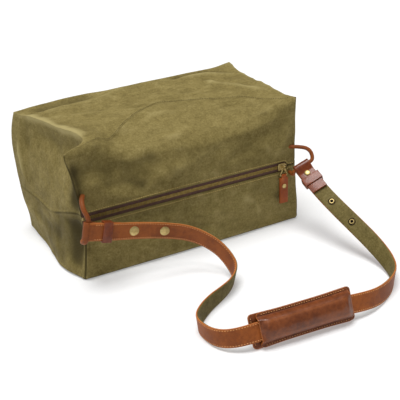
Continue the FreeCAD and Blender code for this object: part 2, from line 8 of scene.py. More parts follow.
import bpy
import numpy as np
from mathutils import Matrix, Vector


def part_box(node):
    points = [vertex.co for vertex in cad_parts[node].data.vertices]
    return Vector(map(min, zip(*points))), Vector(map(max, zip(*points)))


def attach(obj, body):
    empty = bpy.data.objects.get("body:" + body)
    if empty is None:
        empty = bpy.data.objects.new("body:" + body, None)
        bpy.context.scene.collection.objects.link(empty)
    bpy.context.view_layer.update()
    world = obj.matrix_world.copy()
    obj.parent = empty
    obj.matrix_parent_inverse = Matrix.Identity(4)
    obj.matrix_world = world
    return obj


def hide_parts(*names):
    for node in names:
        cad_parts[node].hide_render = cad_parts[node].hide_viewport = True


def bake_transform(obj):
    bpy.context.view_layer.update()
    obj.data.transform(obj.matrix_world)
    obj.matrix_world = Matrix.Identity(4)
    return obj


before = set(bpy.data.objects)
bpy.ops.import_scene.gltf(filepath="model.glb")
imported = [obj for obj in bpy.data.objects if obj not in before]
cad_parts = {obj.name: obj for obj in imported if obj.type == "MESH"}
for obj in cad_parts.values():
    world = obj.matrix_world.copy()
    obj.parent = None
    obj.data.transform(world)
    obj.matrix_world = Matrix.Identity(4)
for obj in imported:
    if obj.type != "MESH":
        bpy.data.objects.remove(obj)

LOG = logging.getLogger("satchel")
MM = 0.001                       # the shapes are written in millimetres
Array = np.ndarray
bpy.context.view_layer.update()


# --------------------------------------------------------------------------- shading

class Wire:
    """A number inside a material, so that shader maths reads as plain expressions."""

    def __init__(self, recipe: "Recipe", socket: bpy.types.NodeSocket) -> None:
        """Wrap one output socket of a recipe."""
        self.recipe = recipe
        self.socket = socket

    def _maths(self, operation: str, first: "Wire | float", second: "Wire | float") -> "Wire":
        """Add one Math node and return its result."""
        return self.recipe.node("ShaderNodeMath", {"operation": operation}, {0: first, 1: second})

    def __add__(self, other: "Wire | float") -> "Wire":
        """Sum."""
        return self._maths("ADD", self, other)

    __radd__ = __add__

    def __sub__(self, other: "Wire | float") -> "Wire":
        """Difference."""
        return self._maths("SUBTRACT", self, other)

    def __rsub__(self, other: "Wire | float") -> "Wire":
        """Difference the other way round."""
        return self._maths("SUBTRACT", other, self)

    def __mul__(self, other: "Wire | float") -> "Wire":
        """Product."""
        return self._maths("MULTIPLY", self, other)

    __rmul__ = __mul__

    def over(self, low: float, high: float) -> "Wire":
        """The value's place between low and high, held to 0..1 and eased.

        Args:
            low: value that gives 0.
            high: value that gives 1.

        Returns:
            The eased share.
        """
        settings = {"interpolation_type": "SMOOTHSTEP"}
        return self.recipe.node("ShaderNodeMapRange", settings,
                                {"Value": self, "From Min": low, "From Max": high})


Colour = tuple[float, float, float]


class Recipe:
    """A material under construction around one Principled shader."""

    def __init__(self, name: str) -> None:
        """Start an empty material with that name."""
        self.material = bpy.data.materials.new(name)
        self.material.use_nodes = True
        self.tree = self.material.node_tree
        self.shader = next(n for n in self.tree.nodes if n.type == "BSDF_PRINCIPLED")
        self._places: dict[str, Wire] = {}

    def node(self, kind: str, settings: dict | None = None, values: dict | None = None,
             output: str | int = 0) -> Wire:
        """Add any node.

        Args:
            kind: the node's type.
            settings: its own properties, set first.
            values: numbers, colours or wires for its input sockets.
            output: the socket that is returned.

        Returns:
            The wrapped output.
        """
        made = self.tree.nodes.new(kind)
        for key, value in (settings or {}).items():
            setattr(made, key, value)
        for key, value in (values or {}).items():
            self.feed(made.inputs[key], value)
        return Wire(self, made.outputs[output])

    def feed(self, socket: bpy.types.NodeSocket, value: object) -> None:
        """Give a socket a wire, a number or a colour."""
        if isinstance(value, Wire):
            self.tree.links.new(value.socket, socket)
        elif isinstance(value, tuple) and len(value) == 3 and socket.type == "RGBA":
            socket.default_value = (*value, 1.0)
        else:
            socket.default_value = value

    def set(self, **values: object) -> None:
        """Feed the shader's sockets; underscores stand for spaces."""
        for key, value in values.items():
            self.feed(self.shader.inputs[key.replace("_", " ")], value)

    def place(self, kind: str = "Object") -> Wire:
        """Texture coordinates: Object or UV."""
        if kind not in self._places:
            self._places[kind] = self.node("ShaderNodeTexCoord", output=kind)
        return self._places[kind]

    def stretched(self, scale: Colour) -> Wire:
        """Object coordinates scaled by a different number along each axis."""
        return self.node("ShaderNodeMapping", {}, {"Vector": self.place(), "Scale": scale})

    def noise(self, scale: float, detail: float = 3.0, rough: float = 0.55,
              at: Wire | None = None) -> Wire:
        """Cloudy noise, 0..1, whose scale is in features per metre."""
        values = {"Vector": at or self.place(), "Scale": scale, "Detail": detail,
                  "Roughness": rough}
        return self.node("ShaderNodeTexNoise", {}, values)

    def cells(self, scale: float) -> Wire:
        """Distance to the nearest point of a scatter, as in pebbled grain."""
        return self.node("ShaderNodeTexVoronoi", {}, {"Vector": self.place(), "Scale": scale},
                         "Distance")

    def mark(self, name: str) -> Wire:
        """A number painted on the mesh as an attribute."""
        return self.node("ShaderNodeAttribute", {"attribute_name": name}, {}, "Fac")

    def mix(self, share: Wire | float, first: Wire | Colour, second: Wire | Colour) -> Wire:
        """Mix two colours by a share."""
        made = self.tree.nodes.new("ShaderNodeMix")
        made.data_type = "RGBA"
        made.blend_type = "MIX"
        made.clamp_factor = True
        self.feed(made.inputs[0], share)
        self.feed(made.inputs[6], first)
        self.feed(made.inputs[7], second)
        return Wire(self, made.outputs[2])

    def bump(self, height: Wire, strength: float, depth: float) -> None:
        """Feed a height in 0..1 to the shader's Normal, depth in metres."""
        normal = self.node("ShaderNodeBump", {}, {"Height": height, "Strength": strength,
                                                  "Distance": depth})
        self.set(Normal=normal)


@dataclass(frozen=True)
class WaxedCanvas:
    """Thick cotton duck with a scuffed wax finish: pale where it is rubbed or folded, with painted
    highlights on ridges and painted shade in hollows, creases and seam grooves.
    """

    name: str = "waxed_canvas"
    deep: Colour = (0.112, 0.083, 0.022)
    mid: Colour = (0.232, 0.180, 0.058)
    pale: Colour = (0.400, 0.330, 0.140)
    thread_pitch: float = 0.0011

    def make(self) -> bpy.types.Material:
        """Return the material."""
        mix = Recipe(self.name)
        cloud = mix.noise(10.0, 6.0, 0.66)
        scuff = mix.noise(48.0, 7.0, 0.72)
        streak = mix.noise(1.0, 5.0, 0.65, mix.stretched((45.0, 190.0, 110.0)))
        fibre = mix.noise(360.0, 5.0, 0.8)
        tone = cloud * 0.26 + scuff * 0.34 + streak * 0.18 + fibre * 0.50 - 0.14
        colour = mix.mix(tone.over(0.34, 0.56), self.deep, self.mid)
        colour = mix.mix(tone.over(0.50, 0.72) * 0.8, colour, self.pale)
        rub = mix.mark("rub")
        # pale where the mark is positive: rubbed wax, with a painted highlight on ridges
        colour = mix.mix((rub * (0.45 + scuff * 0.9)).over(0.04, 0.85), colour, self.pale)
        # dark where the mark is negative: painted shade in hollows, valleys, seam grooves and the
        # tucked end
        colour = mix.mix((rub * -1.0).over(0.02, 1.0), colour,
                         tuple(part * 0.45 for part in self.deep))
        weave_u = mix.node("ShaderNodeTexWave", {"wave_type": "BANDS", "bands_direction": "X"},
                           {"Vector": mix.place("UV"), "Scale": 0.314 / self.thread_pitch,
                            "Distortion": 0.4})
        weave_v = mix.node("ShaderNodeTexWave", {"wave_type": "BANDS", "bands_direction": "Y"},
                           {"Vector": mix.place("UV"), "Scale": 0.314 / self.thread_pitch,
                            "Distortion": 0.4})
        weave = weave_u * 0.5 + weave_v * 0.5
        colour = mix.mix(weave.over(0.2, 0.9) * 0.10, colour, self.pale)
        mix.set(Base_Color=colour, Roughness=(1.0 - scuff * 0.35).over(0.1, 1.25))
        mix.set(Specular_IOR_Level=0.12)
        mix.bump(weave * 0.35 + fibre * 0.5 + scuff * 1.4, 0.55, 0.0012)
        return mix.material


@dataclass(frozen=True)
class Leather:
    """Oiled pull-up leather, pale and raw along its cut edges."""

    name: str
    dark: Colour
    tan: Colour
    raw: Colour
    gloss: float
    polish: float = 0.0

    def make(self) -> bpy.types.Material:
        """Return the material."""
        mix = Recipe(self.name)
        cloud = mix.noise(26.0, 4.0, 0.6)
        fine = mix.noise(190.0, 4.0, 0.65)
        pores = mix.cells(900.0)
        colour = mix.mix((cloud * 0.62 + fine * 0.38).over(0.34, 0.66), self.dark, self.tan)
        colour = mix.mix(mix.mark("rub").over(0.0, 1.0), colour, self.raw)
        colour = mix.mix((pores * -1.0 + 0.28).over(0.0, 0.30) * 0.35, colour,
                         tuple(part * 0.5 for part in self.dark))
        mix.set(Base_Color=colour, Roughness=self.gloss + 0.26 * fine,
                Specular_IOR_Level=0.30, Coat_Weight=self.polish, Coat_Roughness=0.16)
        mix.bump(pores * 0.5 + fine * 0.9 + cloud * 1.0, 0.5, 0.0007)
        return mix.material


@dataclass(frozen=True)
class Metal:
    """Brass with a handled, browned surface."""

    name: str
    bright: Colour
    dull: Colour
    roughness: float

    def make(self) -> bpy.types.Material:
        """Return the material."""
        mix = Recipe(self.name)
        tarnish = mix.noise(260.0, 4.0, 0.6)
        colour = mix.mix(tarnish.over(0.35, 0.68), self.bright, self.dull)
        mix.set(Base_Color=colour, Metallic=1.0, Roughness=self.roughness + 0.22 * tarnish)
        mix.bump(tarnish, 0.2, 0.0003)
        return mix.material


@dataclass(frozen=True)
class Weave:
    """Plain woven cloth: zipper tape, cotton lining or sewing thread."""

    name: str
    light: Colour
    dark: Colour
    pitch: float
    rough: float = 0.85

    def make(self) -> bpy.types.Material:
        """Return the material."""
        mix = Recipe(self.name)
        bands = mix.node("ShaderNodeTexWave", {"wave_type": "BANDS", "bands_direction": "DIAGONAL"},
                         {"Vector": mix.place(), "Scale": 0.314 / self.pitch, "Distortion": 0.6})
        cloud = mix.noise(160.0, 3.0)
        colour = mix.mix((bands * 0.5 + cloud * 0.6).over(0.25, 0.85), self.dark, self.light)
        mix.set(Base_Color=colour, Roughness=self.rough + 0.1 * cloud, Specular_IOR_Level=0.2)
        mix.bump(bands, 0.4, 0.0003)
        return mix.material


class Finish(Enum):
    """Every finish on the bag, by the record's slots where it has one."""

    CANVAS = WaxedCanvas()
    STRAP_CANVAS = WaxedCanvas("strap_canvas", (0.078, 0.060, 0.017), (0.160, 0.124, 0.040),
                               (0.270, 0.222, 0.095))
    LEATHER = Leather("strap_leather_tan", (0.190, 0.046, 0.006), (0.320, 0.086, 0.013),
                      (0.560, 0.185, 0.040), 0.44)
    PAD_LEATHER = Leather("pad_leather_brown", (0.100, 0.022, 0.004), (0.215, 0.056, 0.012),
                          (0.480, 0.150, 0.036), 0.30, 0.30)
    # darker leather for both keepers, also laid on the right fold as painted shade
    BINDING_LEATHER = Leather("binding_leather_and_painted_shade", (0.120, 0.020, 0.003), (0.230, 0.046, 0.006),
                              (0.520, 0.160, 0.034), 0.30, 0.28)
    PULL_LEATHER = Leather("pull_leather", (0.230, 0.042, 0.004), (0.360, 0.080, 0.008),
                           (0.600, 0.200, 0.040), 0.42)
    BRASS = Metal("aged_brass", (0.60, 0.47, 0.20), (0.44, 0.33, 0.13), 0.40)
    DARK_BRASS = Metal("antique_brass", (0.085, 0.060, 0.026), (0.024, 0.018, 0.010), 0.48)
    TEETH_BRASS = Metal("teeth_brass", (0.45, 0.32, 0.10), (0.27, 0.185, 0.055), 0.42)
    TAPE = Weave("zipper_tape_brown", (0.150, 0.084, 0.062), (0.070, 0.037, 0.028), 0.0006)
    LINING = Weave("cotton_lining", (0.34, 0.30, 0.20), (0.24, 0.20, 0.13), 0.0007)
    SEAM_THREAD = Weave("seam_thread", (0.10, 0.075, 0.035), (0.05, 0.036, 0.016), 0.0004)
    GOLD_THREAD = Weave("gold_thread", (0.64, 0.48, 0.17), (0.46, 0.33, 0.11), 0.0004)
    RAW_THREAD = Weave("strap_thread", (0.82, 0.42, 0.17), (0.66, 0.30, 0.11), 0.0004)
    # near-black floor of each socket's hole: painted shade
    HOLE = Metal("snap_hole_painted_shade", (0.012, 0.010, 0.008), (0.006, 0.005, 0.004), 0.6)


class Cupboard:
    """Makes each finish once and hands it out."""

    def __init__(self) -> None:
        """Start with nothing made."""
        self.made: dict[Finish, bpy.types.Material] = {}

    def take(self, finish: Finish) -> bpy.types.Material:
        """Return the material of a finish."""
        if finish not in self.made:
            self.made[finish] = finish.value.make()
        return self.made[finish]


# ------------------------------------------------------------------------- the bench

def smooth_curve(name: str, places: Sequence[Sequence[float]], steps: int) -> bpy.types.Curve:
    """A NURBS curve with those control points, read in that many steps between them."""
    curve = bpy.data.curves.new(name, "CURVE")
    curve.dimensions = "3D"
    curve.resolution_u = steps
    spline = curve.splines.new("NURBS")
    spline.points.add(len(places) - 1)
    for point, place in zip(spline.points, places):
        point.co = (*place, 1.0)
    spline.order_u = 3
    spline.use_endpoint_u = True
    return curve


class Bench:
    """Small modelling steps shared by all the sub-assemblies."""

    def __init__(self, cupboard: Cupboard) -> None:
        """Work with one set of finishes."""
        self.cupboard = cupboard

    @staticmethod
    def clear() -> None:
        """Leave nothing selected."""
        if bpy.context.object and bpy.context.object.mode != "OBJECT":
            bpy.ops.object.mode_set(mode="OBJECT")
        bpy.ops.object.select_all(action="DESELECT")

    def take_up(self, piece: bpy.types.Object) -> None:
        """Make one piece the selected and active object."""
        self.clear()
        piece.select_set(True)
        bpy.context.view_layer.objects.active = piece

    def modify(self, piece: bpy.types.Object, kind: str, **settings: object) -> None:
        """Add a modifier and apply it at once."""
        self.take_up(piece)
        bpy.ops.object.modifier_add(type=kind)
        modifier = piece.modifiers[-1]
        for key, value in settings.items():
            setattr(modifier, key, value)
        bpy.ops.object.modifier_apply(modifier=modifier.name)

    def smooth(self, piece: bpy.types.Object, degrees: float = 40.0) -> None:
        """Shade smooth below an angle."""
        self.take_up(piece)
        bpy.ops.object.shade_smooth_by_angle(angle=math.radians(degrees))

    def face_outwards(self, piece: bpy.types.Object) -> None:
        """Merge doubles and turn every face of a closed shape outwards."""
        self.take_up(piece)
        bpy.ops.object.mode_set(mode="EDIT")
        bpy.ops.mesh.select_all(action="SELECT")
        bpy.ops.mesh.remove_doubles(threshold=1e-6)
        bpy.ops.mesh.normals_make_consistent(inside=False)
        bpy.ops.object.mode_set(mode="OBJECT")

    def pattern(self) -> tuple[Array, list[tuple[int, ...]]]:
        """Corners and faces of the shape just added, which is then put away."""
        shape = bpy.context.object
        places = np.array([vertex.co[:] for vertex in shape.data.vertices])
        faces = [tuple(face.vertices) for face in shape.data.polygons]
        bpy.data.objects.remove(shape)
        return places, faces

    def solid(self, name: str, places: Array, faces: list[tuple[int, ...]],
              marks: dict[str, Array] | None = None) -> bpy.types.Object:
        """A piece from its corners and faces, turned outwards.

        Args:
            name: the piece's name.
            places: its corners, in metres.
            faces: the corners of each face.
            marks: numbers painted on the mesh, one for each corner.

        Returns:
            The piece.
        """
        mesh = bpy.data.meshes.new(name)
        mesh.from_pydata(places.tolist(), [], faces)
        for mark, values in (marks or {}).items():
            paint = mesh.attributes.new(mark, "FLOAT", "POINT")
            paint.data.foreach_set("value", values.astype(float).ravel())
        mesh.update()
        piece = bpy.data.objects.new(name, mesh)
        bpy.context.scene.collection.objects.link(piece)
        self.face_outwards(piece)
        return piece

    def cloth_grid(self, name: str, points: Array, outward: Array,
                   marks: dict[str, Array] | None = None) -> bpy.types.Object:
        """A sheet of cloth from a plane grid whose corners are moved to their places.

        Args:
            name: the piece's name.
            points: rows x columns x 3, in metres.
            outward: rows x columns x 3, the side that faces out.
            marks: numbers painted on the mesh, rows x columns each.

        Returns:
            The sheet, with a UV map in metres.
        """
        rows, columns = points.shape[:2]
        self.clear()
        bpy.ops.mesh.primitive_grid_add(x_subdivisions=columns - 1, y_subdivisions=rows - 1,
                                        size=2.0)
        piece = bpy.context.object
        piece.name = name
        mesh = piece.data
        mesh.name = name
        flat = np.empty(len(mesh.vertices) * 3)
        mesh.vertices.foreach_get("co", flat)
        flat = flat.reshape(-1, 3)
        column = np.rint((flat[:, 0] + 1) / 2 * (columns - 1)).astype(int)
        row = np.rint((flat[:, 1] + 1) / 2 * (rows - 1)).astype(int)
        mesh.vertices.foreach_set("co", points[row, column].astype(float).ravel())
        for mark, values in (marks or {}).items():
            paint = mesh.attributes.new(mark, "FLOAT", "POINT")
            paint.data.foreach_set("value", values[row, column].astype(float).ravel())
        wide = np.linalg.norm(np.diff(points[rows // 2], axis=0), axis=1).sum()
        tall = np.linalg.norm(np.diff(points[:, columns // 2], axis=0), axis=1).sum()
        corners = np.empty(len(mesh.loops), dtype=int)
        mesh.loops.foreach_get("vertex_index", corners)
        spread = np.stack([column[corners] / (columns - 1) * wide,
                           row[corners] / (rows - 1) * tall], axis=1)
        mesh.uv_layers.active.data.foreach_set("uv", spread.ravel())
        mesh.update()
        middle = np.cross(points[rows // 2, columns // 2 + 1] - points[rows // 2, columns // 2],
                          points[rows // 2 + 1, columns // 2] - points[rows // 2, columns // 2])
        if float(np.dot(middle, outward[rows // 2, columns // 2])) < 0:
            self.take_up(piece)
            bpy.ops.object.mode_set(mode="EDIT")
            bpy.ops.mesh.select_all(action="SELECT")
            bpy.ops.mesh.flip_normals()
            bpy.ops.object.mode_set(mode="OBJECT")
        return piece

    def loft(self, name: str, sections: Array,
             marks: dict[str, Array] | None = None) -> bpy.types.Object:
        """A solid through closed sections that all have the same number of points.

        Args:
            name: the piece's name.
            sections: stations x points x 3, in metres.
            marks: numbers painted on the mesh, stations x points each.

        Returns:
            The lofted piece, capped at both ends.
        """
        count, around = sections.shape[:2]
        faces: list[tuple[int, ...]] = []
        for station in range(count - 1):
            here, there = station * around, (station + 1) * around
            faces += [(here + k, here + (k + 1) % around, there + (k + 1) % around, there + k)
                      for k in range(around)]
        faces.append(tuple(range(around))[::-1])
        faces.append(tuple(range((count - 1) * around, count * around)))
        return self.solid(name, sections.reshape(-1, 3), faces, marks)

    def refine(self, node: str, name: str, rounding: float, flat: float = 4.0,
               ) -> bpy.types.Object:
        """A copy of a plain CAD piece with its edges rounded over and rubbed pale.

        Args:
            node: the CAD node that is copied.
            name: the new piece's name.
            rounding: the edges' radius, in millimetres.
            flat: faces that meet within this angle, in degrees, are first made one.

        Returns:
            The refined piece.
        """
        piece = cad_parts[node].copy()
        piece.data = piece.data.copy()
        piece.name = name
        piece.data.name = name
        piece.parent = None
        piece.matrix_world = Matrix()
        bpy.context.scene.collection.objects.link(piece)
        self.face_outwards(piece)
        bpy.ops.object.mode_set(mode="EDIT")
        bpy.ops.mesh.select_all(action="SELECT")
        bpy.ops.mesh.dissolve_limited(angle_limit=math.radians(flat))
        bpy.ops.object.mode_set(mode="OBJECT")
        self.modify(piece, "BEVEL", width=rounding * MM, segments=3, limit_method="ANGLE",
                    angle_limit=math.radians(35.0), use_clamp_overlap=True)
        self.modify(piece, "TRIANGULATE")
        self.smooth(piece, 50.0)
        normals = [vertex.normal.copy() for vertex in piece.data.vertices]
        sharp = np.ones(len(piece.data.vertices))
        for polygon in piece.data.polygons:
            for corner in polygon.vertices:
                sharp[corner] = min(sharp[corner], polygon.normal.dot(normals[corner]))
        paint = piece.data.attributes.new("rub", "FLOAT", "POINT")
        paint.data.foreach_set("value", np.clip((1 - sharp) * 2.2, 0.0, 0.8))
        return piece

    def turned(self, name: str, profile: Sequence[tuple[float, float]],
               seat: tuple[Array, Array], around: int = 36) -> bpy.types.Object:
        """A turned piece: rings of given radius at given heights along an axis.

        Args:
            name: the piece's name.
            profile: (radius, height) pairs in millimetres, from the seat outwards.
            seat: the middle of its foot, and the direction of its axis.
            around: points round each ring.

        Returns:
            The turned piece.
        """
        foot, axis = seat
        axis = axis / np.linalg.norm(axis)
        first = np.cross(axis, (0.3, 0.2, 1.0))
        first /= np.linalg.norm(first)
        second = np.cross(axis, first)
        turn = np.linspace(0, 2 * math.pi, around, endpoint=False)
        ring = np.cos(turn)[:, None] * first + np.sin(turn)[:, None] * second
        sections = np.stack([foot + axis * height + ring * max(radius, 0.02)
                             for radius, height in profile])
        piece = self.loft(name, sections * MM)
        self.smooth(piece, 35.0)
        return piece

    def tube(self, name: str, route: Sequence[Array], radius: float) -> bpy.types.Object:
        """A rolled-leather tube along a smooth line through given points."""
        curve = smooth_curve(name, [np.asarray(place, float) * MM for place in route], 8)
        curve.bevel_depth = radius * MM
        curve.bevel_resolution = 5
        curve.use_fill_caps = True
        piece = bpy.data.objects.new(name, curve)
        bpy.context.scene.collection.objects.link(piece)
        self.take_up(piece)
        bpy.ops.object.convert(target="MESH")
        piece = bpy.context.object
        self.face_outwards(piece)
        self.smooth(piece, 60.0)
        return piece

    def gather(self, name: str, pieces: Sequence[bpy.types.Object]) -> bpy.types.Object:
        """Join pieces that stand for one CAD node."""
        self.clear()
        for piece in pieces:
            piece.select_set(True)
        bpy.context.view_layer.objects.active = pieces[0]
        bpy.ops.object.join()
        pieces[0].name = name
        return pieces[0]

    def dress(self, piece: bpy.types.Object, finish: Finish) -> None:
        """Give a piece one finish all over."""
        piece.data.materials.clear()
        piece.data.materials.append(self.cupboard.take(finish))

    def report(self, piece: bpy.types.Object, body: str | None, slot: str | None,
               stands_for: Iterable[str] = ()) -> bpy.types.Object:
        """Ride a finished piece on its body and log it.

        Args:
            piece: the finished object.
            body: the body it rides on, or None for a piece that rides on none.
            slot: the record's material slot; not used.
            stands_for: CAD nodes that it replaces.

        Returns:
            The same piece.
        """
        if body:
            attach(piece, body)
        names = list(stands_for)
        if names:
            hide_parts(*names)
        LOG.info("%s: %d faces on %s", piece.name, len(piece.data.polygons), body)
        return piece


# ------------------------------------------------------------------------ the canvas

def smooth_step(values: Array, low: float, high: float) -> Array:
    """Ease from 0 at low to 1 at high."""
    share = np.clip((values - low) / (high - low), 0.0, 1.0)
    return share * share * (3.0 - 2.0 * share)


def through(values: Array, knots: Sequence[tuple[float, float]]) -> Array:
    """A smooth line through given knots, level at each knot's own value.

    Args:
        values: where the line is read.
        knots: (place, value) pairs in rising order of place.

    Returns:
        The line's values.
    """
    places = np.array([knot[0] for knot in knots], float)
    heights = np.array([knot[1] for knot in knots], float)
    slopes = np.gradient(heights, places)
    spot = np.clip(np.searchsorted(places, values) - 1, 0, len(places) - 2)
    gap = places[spot + 1] - places[spot]
    share = np.clip((values - places[spot]) / gap, 0.0, 1.0)
    square, cube = share ** 2, share ** 3
    return ((2 * cube - 3 * square + 1) * heights[spot]
            + (cube - 2 * square + share) * gap * slopes[spot]
            + (3 * square - 2 * cube) * heights[spot + 1]
            + (cube - square) * gap * slopes[spot + 1])


class Rumple:
    """Smooth random unevenness of cloth, the same on every run."""

    def __init__(self, seed: int) -> None:
        """Fill a lattice of random numbers."""
        self.side = 32
        self.lattice = np.random.default_rng(seed).random((self.side,) * 3)

    def _layer(self, places: Array) -> Array:
        """One layer of eased lattice noise, -1..1."""
        cell = np.floor(places).astype(int)
        part = places - cell
        part = part * part * (3 - 2 * part)
        total = np.zeros(places.shape[:-1])
        for corner in np.ndindex(2, 2, 2):
            weight = np.prod(np.where(np.array(corner) == 1, part, 1 - part), axis=-1)
            index = (cell + np.array(corner)) % self.side
            total += weight * self.lattice[index[..., 0], index[..., 1], index[..., 2]]
        return total * 2 - 1

    def height(self, places: Array, length: float, layers: int = 3) -> Array:
        """Unevenness about -1..1 with waves of about that length, in the places' unit."""
        total = np.zeros(places.shape[:-1])
        weight, scale = 1.0, 1.0 / length
        for layer in range(layers):
            total += weight * self._layer(places * scale + 7.3 * layer)
            weight *= 0.5
            scale *= 2.1
        return total


@dataclass(frozen=True)
class Push:
    """One push of the hand on the full bag, in millimetres."""

    at: tuple[float, float, float]
    reach: tuple[float, float, float]
    move: tuple[float, float, float]

    def field(self, places: Array) -> Array:
        """How far the push moves each place."""
        away = (places - np.array(self.at)) / np.array(self.reach)
        return np.exp(-np.sum(away ** 2, axis=-1))[..., None] * np.array(self.move)


@dataclass(frozen=True)
class Crease:
    """A fold line in the cloth: raised where its height is positive, sunk where negative. Its mark
    pales the cloth where positive (rubbed wax, partly a painted highlight) and darkens it with
    painted shade where negative.
    """

    line: tuple[tuple[float, float, float], ...]
    width: float
    height: float
    # pale rubbed wax and painted highlight where positive, painted shade where negative
    rub: float = 0.0

    def nearness(self, places: Array) -> Array:
        """1 on the line, falling off over its width, and fading at both its ends."""
        best = np.zeros(places.shape[:-1])
        stretches = list(zip(self.line, self.line[1:]))
        for number, (start, end) in enumerate(stretches):
            head, tail = np.array(start, float), np.array(end, float)
            run = tail - head
            share = np.clip(((places - head) @ run) / float(run @ run), 0.0, 1.0)
            away = np.linalg.norm(places - (head + share[..., None] * run), axis=-1)
            near = np.exp(-(away / self.width) ** 2)
            if number == 0:
                near = near * (0.25 + 0.75 * smooth_step(share, 0.0, 0.45))
            if number == len(stretches) - 1:
                near = near * (1.0 - 0.75 * smooth_step(share, 0.55, 1.0))
            best = np.maximum(best, near)
        return best


class Edge(Enum):
    """How one edge of a canvas panel is finished."""

    SEWN = "turned in at a seam"
    FLAT = "lapped flat and stitched down"
    ZIP = "turned in along the zipper"
    FOLD = "folded over softly"

    @property
    def depth(self) -> float:
        """How far the edge is drawn in, in millimetres."""
        return {Edge.SEWN: 2.2, Edge.FLAT: 0.7, Edge.ZIP: 1.0, Edge.FOLD: 0.6}[self]

    @property
    def reach(self) -> float:
        """How far from the edge the cloth starts to turn, in millimetres."""
        return {Edge.SEWN: 4.5, Edge.FLAT: 1.8, Edge.ZIP: 2.4, Edge.FOLD: 6.0}[self]


